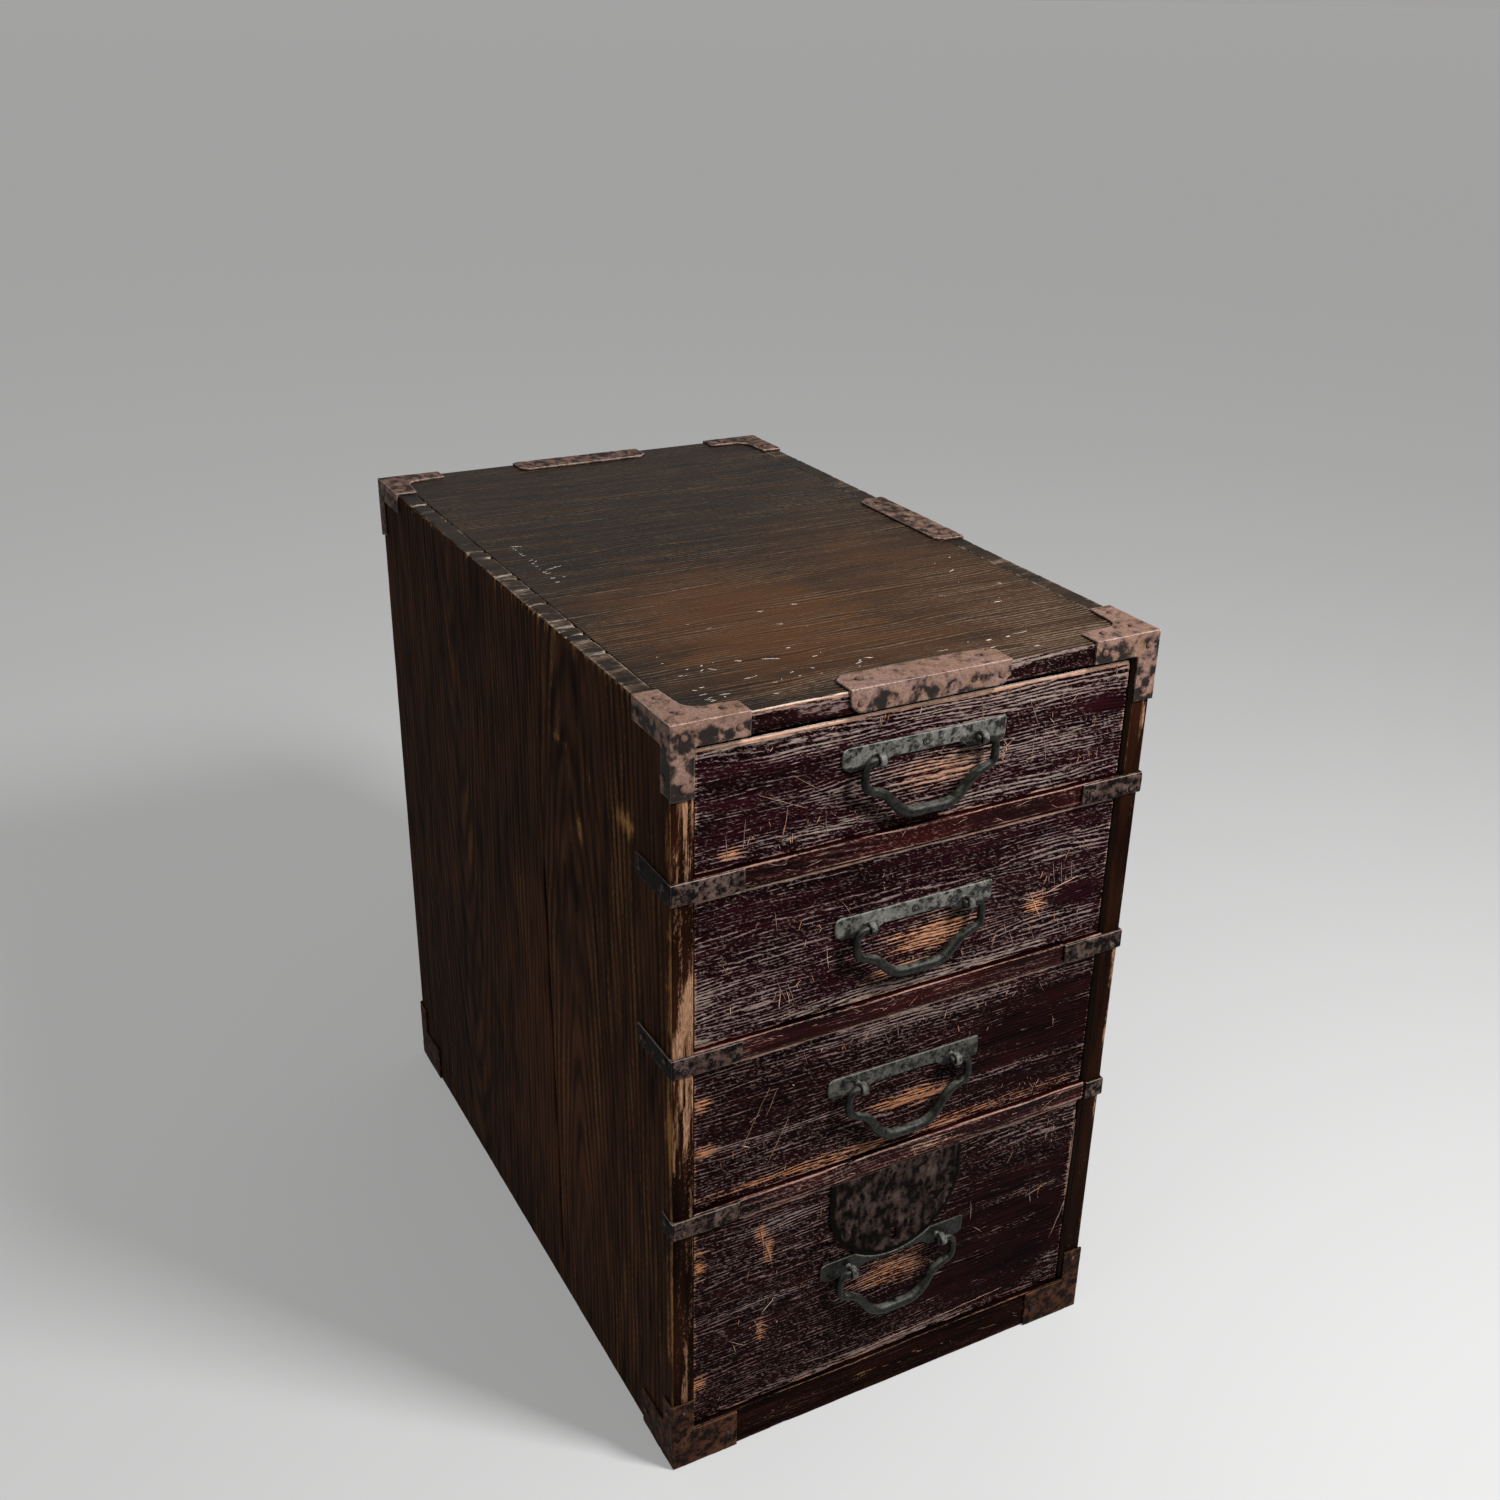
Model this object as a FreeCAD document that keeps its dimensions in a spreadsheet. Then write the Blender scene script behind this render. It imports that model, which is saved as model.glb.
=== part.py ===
"""Small iron-bound chest with four drawers, as a parametric document.

Lengths are millimetres. The origin is the middle of the base, +Z is up and
the drawers open towards -Y.
"""
import FreeCAD
import Part
import math
import os
import re

import Sketcher
from FreeCAD import Placement, Rotation, Vector

# Driving sizes: value and meaning
SIZES = {
    # Carcass
    "width": (285, "outside width of the wood"),
    "depth": (455, "outside depth of the wood"),
    "height": (465, "outside height of the wood"),
    "side_board": (12, "thickness of each side"),
    "top_board": (12, "thickness of the top"),
    "bottom_board": (8, "thickness of the bottom"),
    "back_board": (8, "thickness of the back boards"),
    "back_joint": (0.4, "open joint between two back boards"),
    "bottom_rail": (26, "height of the front rail at the base"),
    "bottom_rail_depth": (20, "depth of the front rail at the base"),
    "runner_width": (16, "width of each runner on the bottom"),
    "rail_height": (12, "height of a rail between two drawers"),
    "rail_depth": (36, "depth of a rail between two drawers"),
    "dust_board": (6, "thickness of the board behind a rail"),
    "groove": (4, "depth of the grooves in the sides"),
    "opening_1": (70, "first drawer opening's part of the clear height"),
    "opening_2": (88.5, "second drawer opening's part of the clear height"),
    "opening_3": (91.7, "third drawer opening's part of the clear height"),
    "opening_4": (140.8, "fourth drawer opening's part of the clear height"),
    # Drawers
    "recess": (2.5, "setback of the drawer fronts behind the front edges"),
    "drawer_front": (18, "thickness of a drawer front"),
    "drawer_side": (9, "thickness of a drawer side"),
    "drawer_back": (8, "thickness of a drawer back"),
    "drawer_bottom": (6, "thickness of a drawer bottom"),
    "drawer_gap": (1.5, "gap at each side of a drawer"),
    "drawer_headroom": (2, "gap over a drawer"),
    "drawer_lift": (0.3, "running gap under a drawer"),
    "drawer_rear_gap": (4, "gap behind a drawer"),
    "front_bevel": (1.2, "bevel round a drawer front"),
    # Sheet iron
    "iron": (1.5, "thickness of the corner irons, plates and straps"),
    "corner_arm": (41, "reach of a top corner iron along each edge"),
    "corner_drop": (38, "reach of a top corner iron down the corner"),
    "corner_cover": (14, "width of a top corner iron's arms on the top"),
    "corner_web": (6, "radius of the hollow between those two arms"),
    "foot_arm": (40, "reach of a foot iron along each edge"),
    "foot_rise": (48, "reach of a foot iron up the corner"),
    "foot_lift": (0.5, "height of a foot iron's lower edge"),
    "plate_length": (95, "length of an edge plate"),
    "plate_cover": (18, "width of an edge plate on the top"),
    "strap_front": (39.5, "reach of a strap along the front"),
    "strap_side": (39, "reach of a strap along the side"),
    "strap_stub": (11.5, "reach of a strap's broken arm"),
    # Nails
    "nail_head": (2.2, "radius of a nail head at its foot"),
    "nail_crown": (1.3, "radius of a nail head at its top"),
    "nail_rise": (0.9, "height of a nail head"),
    "nail_shank": (0.9, "radius of a nail's shank"),
    "nail_length": (8.5, "length of a nail under its head"),
    "nail_fit": (0.05, "clearance round a nail or a post"),
    "nail_inset": (6, "distance of a nail from an edge"),
    "nail_stagger": (4.5, "shift of a nail that passes another one"),
    # Handles
    "handle_length": (98, "length of a handle plate"),
    "handle_end": (13, "height of a handle plate's ends"),
    "handle_waist": (9.5, "height of a handle plate between the posts"),
    "handle_tab": (23.5, "length of each high end"),
    "handle_slope": (4.5, "length of the step between end and waist"),
    "handle_iron": (1.5, "thickness of a handle plate"),
    "handle_rise_1": (10.5, "height of handle 1 over the middle of its drawer"),
    "handle_rise_2": (5.5, "height of handle 2 over the middle of its drawer"),
    "handle_rise_3": (7, "height of handle 3 over the middle of its drawer"),
    "handle_rise_4": (7, "height of handle 4 over the middle of its drawer"),
    "post_spacing": (61, "distance between the two posts of a handle"),
    "post_reach": (5.5, "distance of the bail's axis from the plate"),
    "post_width": (4, "width of a post's eye"),
    "post_eye": (4.2, "outer radius of a post's eye"),
    "post_shank": (1.8, "radius of a post's shank"),
    "post_leg": (9, "length of each leg spread inside the drawer"),
    "post_leg_width": (3, "width of such a leg"),
    "post_leg_iron": (1.2, "thickness of such a leg"),
    # Bails
    "bail_end": (2.1, "radius of a bail in the eyes"),
    "bail_grip": (3.2, "radius of a bail at its middle"),
    "bail_fit": (0.1, "clearance of a bail in the eyes"),
    "bail_tip": (3.5, "length of a bail's ends inside the posts"),
    "bail_run": (0.8, "straight run of a bail between a post and its shoulder"),
    "bail_shoulder_drop": (15, "drop of the shoulders"),
    "bail_neck": (27, "distance of the neck from the middle"),
    "bail_neck_drop": (19.5, "drop of the neck"),
    "bail_foot": (15, "distance of the grip's corner from the middle"),
    "bail_drop_1": (33, "drop of the grip of bail 1"),
    "bail_drop_2": (31.5, "drop of the grip of bail 2"),
    "bail_drop_3": (37.5, "drop of the grip of bail 3"),
    "bail_drop_4": (37, "drop of the grip of bail 4"),
    "bail_bend": (5.6, "bend radius at the shoulders"),
    "bail_sweep": (14, "bend radius at the neck"),
    "bail_bow": (16, "bend radius at the grip"),
    # Lock of the lowest drawer
    "lock_width": (88, "width of the lock plate"),
    "lock_strip": (1.5, "height of the handle plate that the lock plate leaves"),
    "lock_iron": (1.2, "thickness of the lock plate"),
    "lock_fit": (0.3, "gap between the lock plate and the handle plate"),
    "key_width": (3, "width of the keyhole"),
    "key_height": (10, "height of the keyhole"),
    "key_rise": (8, "height of the keyhole over the plate's lower end"),
    "case_width": (46, "width of the lock case"),
    "case_foot": (6, "reach of the lock case under the keyhole"),
    "case_depth": (9, "depth of the lock case"),
    "case_fit": (0.05, "clearance round the lock case"),
    "case_wall": (3, "thickness of the lock case under the bolt's slot"),
    "bolt_width": (16, "width of the bolt"),
    "bolt_height": (30, "height of the bolt"),
    "bolt_iron": (4, "thickness of the bolt"),
    "bolt_fit": (0.3, "clearance round the bolt"),
    "bolt_throw": (7, "travel of the bolt"),
}
DRAWER_COUNT = 4
DRAWERS = range(1, DRAWER_COUNT + 1)
RAILS = range(1, DRAWER_COUNT)
BACK_BOARDS = 3
LEFT, RIGHT = -1, 1
FRONT, BACK = -1, 1
SIDE_NAMES = {LEFT: "left", RIGHT: "right"}
FACE_NAMES = {FRONT: "front", BACK: "back"}

# Lines and planes that several pieces share
INNER = "width / 2 - side_board"
FRONT_Y = "-depth / 2"
BACK_Y = "depth / 2"
UNDER_TOP = "height - top_board"
CLEAR_HEIGHT = f"{UNDER_TOP} - bottom_rail - {len(RAILS)} * rail_height"
ALL_OPENINGS = " + ".join(f"opening_{index}" for index in DRAWERS)
DRAWER_Y = f"{FRONT_Y} + recess"
DRAWER_INSIDE_Y = f"{DRAWER_Y} + drawer_front"
DRAWER_END_Y = f"{BACK_Y} - back_board - drawer_rear_gap"
DRAWER_SIDE_X = f"{INNER} - drawer_gap"
PLATE_Y = f"{DRAWER_Y} - handle_iron"
BAIL_Y = f"{PLATE_Y} - post_reach"

doc = FreeCAD.newDocument("chest")
nodes = {}
nail_holes = []


# Helpers


def fill_sheet():
    """Write the driving sizes to the document's sheet."""
    table = doc.addObject("Spreadsheet::Sheet", "Size")
    for row, (alias, (value, meaning)) in enumerate(SIZES.items(), start=1):
        table.set(f"A{row}", meaning)
        table.set(f"B{row}", str(value))
        table.setAlias(f"B{row}", alias)
    doc.recompute()
    return table


def formula(text):
    """Turn a text that uses the sizes' names into an expression on the sheet."""
    return re.sub(r"[a-z][a-z_0-9]*", lambda name: f"Size.{name.group(0)}", str(text))


def number(text):
    """Work out the present value of a text that uses the sizes' names."""
    return float(sheet.evalExpression(formula(text)))


def bind(piece, sizes):
    """Tie properties of a piece to the sheet."""
    for name, text in sizes.items():
        piece.setExpression(name, formula(text))
    return piece


def put(piece, x, y, z):
    """Tie the place of a piece to the sheet."""
    return bind(piece, {"Placement.Base.x": x, "Placement.Base.y": y, "Placement.Base.z": z})


def keep(piece):
    """Count a finished object as a sub-part under its label."""
    nodes[piece.Label] = piece
    return piece


def box(label, x, y, z):
    """Make a block from its low and high ends along each axis."""
    piece = doc.addObject("Part::Box", label)
    spans = {"Length": x, "Width": y, "Height": z}
    bind(piece, {name: f"({high}) - ({low})" for name, (low, high) in spans.items()})
    return put(piece, x[0], y[0], z[0])


def rod(label, radius, length, start, direction):
    """Make a cylinder from its start along a direction."""
    piece = doc.addObject("Part::Cylinder", label)
    piece.Placement = Placement(Vector(), Rotation(Vector(0, 0, 1), direction))
    bind(piece, {"Radius": radius, "Height": length})
    return put(piece, *start)


def fuse(label, pieces):
    """Join pieces into one solid."""
    piece = doc.addObject("Part::MultiFuse", label)
    piece.Shapes = pieces
    piece.Refine = True
    return piece


def group(label, pieces):
    """Hold separate solids in one object."""
    piece = doc.addObject("Part::Compound", label)
    piece.Links = pieces
    return piece


def cut(label, base, tools):
    """Cut tools out of a base."""
    piece = doc.addObject("Part::Cut", label)
    piece.Base = base
    piece.Tool = tools[0] if len(tools) == 1 else group(f"{label}_tools", tools)
    piece.Refine = True
    return piece


def drill(label, blank, extra=()):
    """Cut the nail holes that reach a blank, and any other tools, out of it."""
    doc.recompute()
    reach = blank.Shape.BoundBox
    tools = [hole for hole in nail_holes if hole.Shape.BoundBox.intersect(reach)]
    return keep(cut(label, blank, [*extra, *tools]))


def beside(sign, inner, outer):
    """Give the low and high ends of a span on one side of the middle."""
    if sign > 0:
        return inner, outer
    return f"-({outer})", f"-({inner})"


def across(half):
    """Give the low and high ends of a span centred on the middle."""
    return f"-({half})", half


def outline_body(label, plane, points, thickness, place):
    """Pad a closed outline of straight lines, whose points lie right of and above its corner."""
    body = doc.addObject("PartDesign::Body", label)
    sketch = body.newObject("Sketcher::SketchObject", f"{label}_outline")
    planes = [item for item in body.Origin.OriginFeatures if item.Role == plane]
    sketch.AttachmentSupport = [(planes[0], "")]
    sketch.MapMode = "FlatFace"
    corners = [Vector(number(x), number(y), 0) for x, y in points]
    count = len(corners)
    for index, corner in enumerate(corners):
        sketch.addGeometry(Part.LineSegment(corner, corners[(index + 1) % count]), False)
    for index in range(count):
        sketch.addConstraint(Sketcher.Constraint("Coincident", index, 2, (index + 1) % count, 1))
    axes = {"DistanceX": -2, "DistanceY": -1}
    for index, point in enumerate(points):
        for (kind, axis), text in zip(axes.items(), point):
            if text == "0":
                sketch.addConstraint(Sketcher.Constraint("PointOnObject", index, 1, axis))
                continue
            name = sketch.addConstraint(Sketcher.Constraint(kind, -1, 1, index, 1, number(text)))
            sketch.setExpression(f"Constraints[{name}]", formula(text))
    pad = body.newObject("PartDesign::Pad", f"{label}_pad")
    pad.Profile = sketch
    pad.Reversed = True
    bind(pad, {"Length": thickness})
    put(body, *place)
    doc.recompute()
    return body


def nail(label, at, outward):
    """Make a forged nail whose head lies on the point at, and the hole for it."""
    head = doc.addObject("Part::Cone", f"{label}_head")
    head.Placement = Placement(Vector(), Rotation(Vector(0, 0, 1), outward))
    bind(head, {"Radius1": "nail_head", "Radius2": "nail_crown", "Height": "nail_rise"})
    put(head, *at)
    shank = rod(f"{label}_shank", "nail_shank", "nail_length", at, -outward)
    mouth = [f"{text} + ({way}) * nail_rise" for text, way in zip(at, outward)]
    depth = "nail_rise + nail_length + nail_fit"
    nail_holes.append(rod(f"{label}_hole", "nail_shank + nail_fit", depth, mouth, -outward))
    return fuse(label, [head, shank])


# Heights of the openings and drawers


def opening_floor(index):
    """Give the height of the floor of a drawer opening."""
    if index == DRAWERS[-1]:
        return "bottom_rail"
    openings = " + ".join(f"opening_{above}" for above in range(1, index + 1))
    above = f"({CLEAR_HEIGHT}) * ({openings}) / ({ALL_OPENINGS})"
    return f"{UNDER_TOP} - {above} - {index - 1} * rail_height"


def opening_ceiling(index):
    """Give the height of the ceiling of a drawer opening."""
    if index == 1:
        return UNDER_TOP
    return f"{opening_floor(index - 1)} - rail_height"


def drawer_heights(index):
    """Give the heights of a drawer's lower and upper edges."""
    return f"{opening_floor(index)} + drawer_lift", f"{opening_ceiling(index)} - drawer_headroom"


def bail_height(index):
    """Give the height of a bail's axis."""
    low, high = drawer_heights(index)
    return f"({low} + {high}) / 2 + handle_rise_{index}"


# Irons and their nails, made first because the boards are drilled for them


def corner_nails(name, side, face):
    """Nail a top corner iron on its top, front or back, and side."""
    def x_at(inset):
        return f"{side} * (width / 2 - {inset})"

    def y_at(inset):
        return f"{face} * (depth / 2 - {inset})"

    upper = "height - top_board / 2"
    lower = "height - corner_drop + nail_inset"
    far = "(corner_arm - nail_inset)"
    near = "side_board / 2"
    top_far = "(corner_arm - nail_inset - nail_stagger)"
    top_near = "(corner_cover - nail_stagger)"
    face_y = f"{face} * (depth / 2 + iron)"
    side_x = f"{side} * (width / 2 + iron)"
    spots = [
        ((x_at(far), face_y, upper), Vector(0, face, 0)),
        ((x_at(near), face_y, upper), Vector(0, face, 0)),
        ((x_at(near), face_y, lower), Vector(0, face, 0)),
        ((side_x, y_at(far), upper), Vector(side, 0, 0)),
        ((side_x, y_at(near), f"{upper} - nail_stagger"), Vector(side, 0, 0)),
        ((side_x, y_at(near), f"{lower} + nail_stagger"), Vector(side, 0, 0)),
        ((x_at(top_far), y_at("corner_cover / 2"), "height + iron"), Vector(0, 0, 1)),
        ((x_at(top_near), y_at(top_near), "height + iron"), Vector(0, 0, 1)),
        ((x_at("corner_cover / 2"), y_at(top_far), "height + iron"), Vector(0, 0, 1)),
    ]
    return [nail(f"{name}_nail_{index}", at, way) for index, (at, way) in enumerate(spots)]


def corner_iron(side, face):
    """Make one of the four irons that cap the corners of the top."""
    name = f"top_iron_{FACE_NAMES[face]}_{SIDE_NAMES[side]}"
    x_out, y_out = "width / 2 + iron", "depth / 2 + iron"
    x_arm = beside(side, "width / 2 - corner_arm", x_out)
    y_arm = beside(face, "depth / 2 - corner_arm", y_out)
    x_cover = beside(side, "width / 2 - corner_cover", x_out)
    y_cover = beside(face, "depth / 2 - corner_cover", y_out)
    x_drop = beside(side, INNER, x_out)
    y_drop = beside(face, "depth / 2 - side_board", y_out)
    x_skin = beside(side, "width / 2", x_out)
    y_skin = beside(face, "depth / 2", y_out)
    z_top = ("height", "height + iron")
    z_arm = (UNDER_TOP, "height + iron")
    z_drop = ("height - corner_drop", "height + iron")
    web_x = f"{side} * (width / 2 - corner_cover - corner_web)"
    web_y = f"{face} * (depth / 2 - corner_cover - corner_web)"
    web = box(
        f"{name}_web_block",
        beside(side, "width / 2 - corner_cover - corner_web", "width / 2 - corner_cover"),
        beside(face, "depth / 2 - corner_cover - corner_web", "depth / 2 - corner_cover"),
        z_top,
    )
    hollow = rod(f"{name}_web_hollow", "corner_web", "iron", (web_x, web_y, "height"), Vector(0, 0, 1))
    blank = fuse(f"{name}_blank", [
        box(f"{name}_top_arm", x_arm, y_cover, z_top),
        box(f"{name}_top_side", x_cover, y_arm, z_top),
        cut(f"{name}_web", web, [hollow]),
        box(f"{name}_face_arm", x_arm, y_skin, z_arm),
        box(f"{name}_face_drop", x_drop, y_skin, z_drop),
        box(f"{name}_side_arm", x_skin, y_arm, z_arm),
        box(f"{name}_side_drop", x_skin, y_drop, z_drop),
    ])
    nails = corner_nails(name, side, face)
    drill(name, blank)
    return nails


def foot_iron(side, face):
    """Make one of the four irons that bind the corners of the base."""
    name = f"foot_iron_{FACE_NAMES[face]}_{SIDE_NAMES[side]}"
    x_out, y_out = "width / 2 + iron", "depth / 2 + iron"
    x_arm = beside(side, "width / 2 - foot_arm", x_out)
    y_arm = beside(face, "depth / 2 - foot_arm", y_out)
    x_rise = beside(side, INNER, x_out)
    y_rise = beside(face, "depth / 2 - side_board", y_out)
    x_skin = beside(side, "width / 2", x_out)
    y_skin = beside(face, "depth / 2", y_out)
    z_arm, z_rise = ("foot_lift", "bottom_rail"), ("foot_lift", "foot_rise")
    blank = fuse(f"{name}_blank", [
        box(f"{name}_face_arm", x_arm, y_skin, z_arm),
        box(f"{name}_face_rise", x_rise, y_skin, z_rise),
        box(f"{name}_side_arm", x_skin, y_arm, z_arm),
        box(f"{name}_side_rise", x_skin, y_rise, z_rise),
    ])
    far = "(foot_arm - nail_inset)"
    near = "side_board / 2"
    face_y, side_x = f"{face} * ({y_out})", f"{side} * ({x_out})"
    middle, upper = "bottom_rail / 2", "foot_rise - nail_inset"
    spots = [
        ((f"{side} * (width / 2 - {far})", face_y, middle), Vector(0, face, 0)),
        ((f"{side} * (width / 2 - {near})", face_y, upper), Vector(0, face, 0)),
        ((side_x, f"{face} * (depth / 2 - {far})", middle), Vector(side, 0, 0)),
        ((side_x, f"{face} * (depth / 2 - {near})", f"{upper} - nail_stagger"), Vector(side, 0, 0)),
    ]
    nails = [nail(f"{name}_nail_{index}", at, way) for index, (at, way) in enumerate(spots)]
    drill(name, blank)
    return nails


def edge_plates():
    """Make the plates over the middle of the front, right and back edges of the top."""
    z_top, z_face = ("height", "height + iron"), (UNDER_TOP, "height + iron")
    long = across("plate_length / 2")
    upper = "height - top_board / 2"
    nail_at = "(plate_length / 2 - nail_inset)"
    nail_on_top = f"({nail_at} - nail_stagger)"
    blanks, nails = [], []
    for face in (FRONT, BACK):
        name = f"edge_plate_{FACE_NAMES[face]}"
        blanks.append(fuse(name, [
            box(f"{name}_top", long, beside(face, "depth / 2 - plate_cover", "depth / 2 + iron"), z_top),
            box(f"{name}_face", long, beside(face, "depth / 2", "depth / 2 + iron"), z_face),
        ]))
        face_y, top_y = f"{face} * (depth / 2 + iron)", f"{face} * (depth / 2 - plate_cover / 2)"
        for way in (LEFT, RIGHT):
            on_face = (f"{way} * {nail_at}", face_y, upper)
            on_top = (f"{way} * {nail_on_top}", top_y, "height + iron")
            nails.append(nail(f"{name}_nail_{SIDE_NAMES[way]}", on_face, Vector(0, face, 0)))
            nails.append(nail(f"{name}_top_nail_{SIDE_NAMES[way]}", on_top, Vector(0, 0, 1)))
    name = "edge_plate_right"
    blanks.append(fuse(name, [
        box(f"{name}_top", ("width / 2 - plate_cover", "width / 2 + iron"), long, z_top),
        box(f"{name}_face", ("width / 2", "width / 2 + iron"), long, z_face),
    ]))
    for way in (FRONT, BACK):
        on_face = ("width / 2 + iron", f"{way} * {nail_at}", upper)
        on_top = ("width / 2 - plate_cover / 2", f"{way} * {nail_on_top}", "height + iron")
        nails.append(nail(f"{name}_nail_{FACE_NAMES[way]}", on_face, Vector(1, 0, 0)))
        nails.append(nail(f"{name}_top_nail_{FACE_NAMES[way]}", on_top, Vector(0, 0, 1)))
    drill("edge_plates", group("edge_plates_blank", blanks))
    return nails


def rail_straps(side):
    """Make the three straps that bind the rails to one side; the lowest has lost an arm."""
    name = f"{SIDE_NAMES[side]}_straps"
    x_out, y_out = "width / 2 + iron", "depth / 2 + iron"
    blanks, nails = [], []
    for index in RAILS:
        broken = index == RAILS[-1]
        front = "strap_stub" if broken and side == RIGHT else "strap_front"
        flank = "strap_stub" if broken and side == LEFT else "strap_side"
        top = opening_floor(index)
        low = f"{top} - rail_height"
        strap = f"{name}_{index}"
        blanks.append(fuse(strap, [
            box(f"{strap}_front", beside(side, f"width / 2 - {front}", x_out),
                beside(FRONT, "depth / 2", y_out), (low, top)),
            box(f"{strap}_side", beside(side, "width / 2", x_out),
                beside(FRONT, f"depth / 2 - {flank}", y_out), (low, top)),
        ]))
        middle = f"{top} - rail_height / 2"
        upper, under = f"{middle} + nail_stagger / 2", f"{middle} - nail_stagger / 2"
        face_y, side_x = f"-({y_out})", f"{side} * ({x_out})"
        near_x = f"{side} * (width / 2 - side_board / 2)"
        far_x = f"{side} * (width / 2 - strap_front + nail_inset)"
        spots = [
            ((near_x, face_y, under), Vector(0, FRONT, 0)),
            ((side_x, "-(depth / 2 - side_board / 2)", upper), Vector(side, 0, 0)),
        ]
        if front == "strap_front":
            spots.append(((far_x, face_y, middle), Vector(0, FRONT, 0)))
        if flank == "strap_side":
            spots.append(((side_x, "-(depth / 2 - strap_side + nail_inset)", middle), Vector(side, 0, 0)))
        nails += [nail(f"{strap}_nail_{spot}", at, way) for spot, (at, way) in enumerate(spots)]
    drill(name, group(f"{name}_blank", blanks))
    return nails


# Boards of the carcass


def bolt_box(name, clearance, low, high):
    """Make a block round the bolt's path, with a clearance on each side."""
    middle = f"{DRAWER_INSIDE_Y} - case_depth / 2"
    return box(
        name,
        across(f"bolt_width / 2 + {clearance}"),
        (f"{middle} - bolt_iron / 2 - {clearance}", f"{middle} + bolt_iron / 2 + {clearance}"),
        (low, high),
    )


def carcass_boards():
    """Make the sides, top, bottom, back, rails and dust boards."""
    inside = across(INNER)
    full_y, full_z = (FRONT_Y, BACK_Y), ("0", "height")
    behind_rail = f"{FRONT_Y} + rail_depth"
    before_back = f"{BACK_Y} - back_board"
    for side in (LEFT, RIGHT):
        name = f"{SIDE_NAMES[side]}_side"
        blank = box(f"{name}_blank", beside(side, INNER, "width / 2"), full_y, full_z)
        grooves = [
            box(f"{name}_groove_{index}", beside(side, INNER, f"{INNER} + groove"),
                (behind_rail, before_back), (f"{opening_floor(index)} - dust_board", opening_floor(index)))
            for index in RAILS
        ]
        drill(name, blank, grooves)
    drill("top_board", box("top_board_blank", inside, full_y, (UNDER_TOP, "height")))
    rail_back = f"{FRONT_Y} + bottom_rail_depth"
    drill("bottom_rail", box("bottom_rail_blank", inside, (FRONT_Y, rail_back), ("0", "bottom_rail")))
    keep(box("bottom_board", inside, (rail_back, before_back), ("0", "bottom_board")))
    runners = [
        box(f"runner_{SIDE_NAMES[side]}", beside(side, f"{INNER} - runner_width", INNER),
            (rail_back, before_back), ("bottom_board", "bottom_rail"))
        for side in (LEFT, RIGHT)
    ]
    keep(group("bottom_runners", runners))
    board = f"({UNDER_TOP}) / {BACK_BOARDS}"
    boards = [
        box(f"back_board_{index}", inside, (before_back, BACK_Y),
            (f"{index} * {board} + {min(index, 1)} * back_joint", f"{index + 1} * {board}"))
        for index in range(BACK_BOARDS)
    ]
    drill("back_boards", group("back_boards_blank", boards))
    for index in RAILS:
        top = opening_floor(index)
        blank = box(f"rail_{index}_blank", inside, (FRONT_Y, behind_rail), (f"{top} - rail_height", top))
        ceiling = f"{top} - rail_height"
        mortise = []
        if index == RAILS[-1]:
            reach = f"{ceiling} - drawer_headroom + bolt_throw + bolt_fit"
            mortise = [bolt_box("rail_mortise", "bolt_fit", ceiling, reach)]
        drill(f"rail_{index}", blank, mortise)
        keep(box(f"dust_board_{index}", across(f"{INNER} + groove"), (behind_rail, before_back),
                 (f"{top} - dust_board", top)))


# Handles


def handle_post(name, x, z):
    """Make a split post: an eye in front, a shank through the drawer and two spread legs."""
    inside = DRAWER_INSIDE_Y
    eye = rod(f"{name}_eye", "post_eye", "post_width", (f"{x} - post_width / 2", BAIL_Y, z), Vector(1, 0, 0))
    length = f"({inside} + post_leg_iron) - ({BAIL_Y})"
    shank = rod(f"{name}_shank", "post_shank", length, (x, BAIL_Y, z), Vector(0, 1, 0))
    legs = box(
        f"{name}_legs",
        (f"{x} - post_leg_width / 2", f"{x} + post_leg_width / 2"),
        (inside, f"{inside} + post_leg_iron"),
        (f"{z} - post_leg", f"{z} + post_leg"),
    )
    bore_start = (f"{x} - post_width", BAIL_Y, z)
    bore = rod(f"{name}_bore", "bail_end + bail_fit", "2 * post_width", bore_start, Vector(1, 0, 0))
    return cut(name, fuse(f"{name}_forging", [eye, shank, legs]), [bore])


def post_hole(name, x, z):
    """Make the hole that a post's shank needs in the plate and the drawer front."""
    start = (x, f"{PLATE_Y} - handle_iron", z)
    length = f"({DRAWER_INSIDE_Y} + handle_iron) - ({PLATE_Y} - handle_iron)"
    return rod(name, "post_shank + nail_fit", length, start, Vector(0, 1, 0))


def rounded_path(points, radii):
    """Make a wire of straight runs joined by tangent arcs."""
    edges, start = [], points[0]
    for before, corner, after, radius in zip(points, points[1:], points[2:], radii):
        back, ahead = (before - corner).normalize(), (after - corner).normalize()
        half = back.getAngle(ahead) / 2
        middle = (back + ahead).normalize()
        first = corner + back * (radius / math.tan(half))
        last = corner + ahead * (radius / math.tan(half))
        crown = corner + middle * (radius / math.sin(half) - radius)
        edges += [Part.LineSegment(start, first).toShape(), Part.Arc(first, crown, last).toShape()]
        start = last
    edges.append(Part.LineSegment(start, points[-1]).toShape())
    return Part.Wire(edges)


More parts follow.
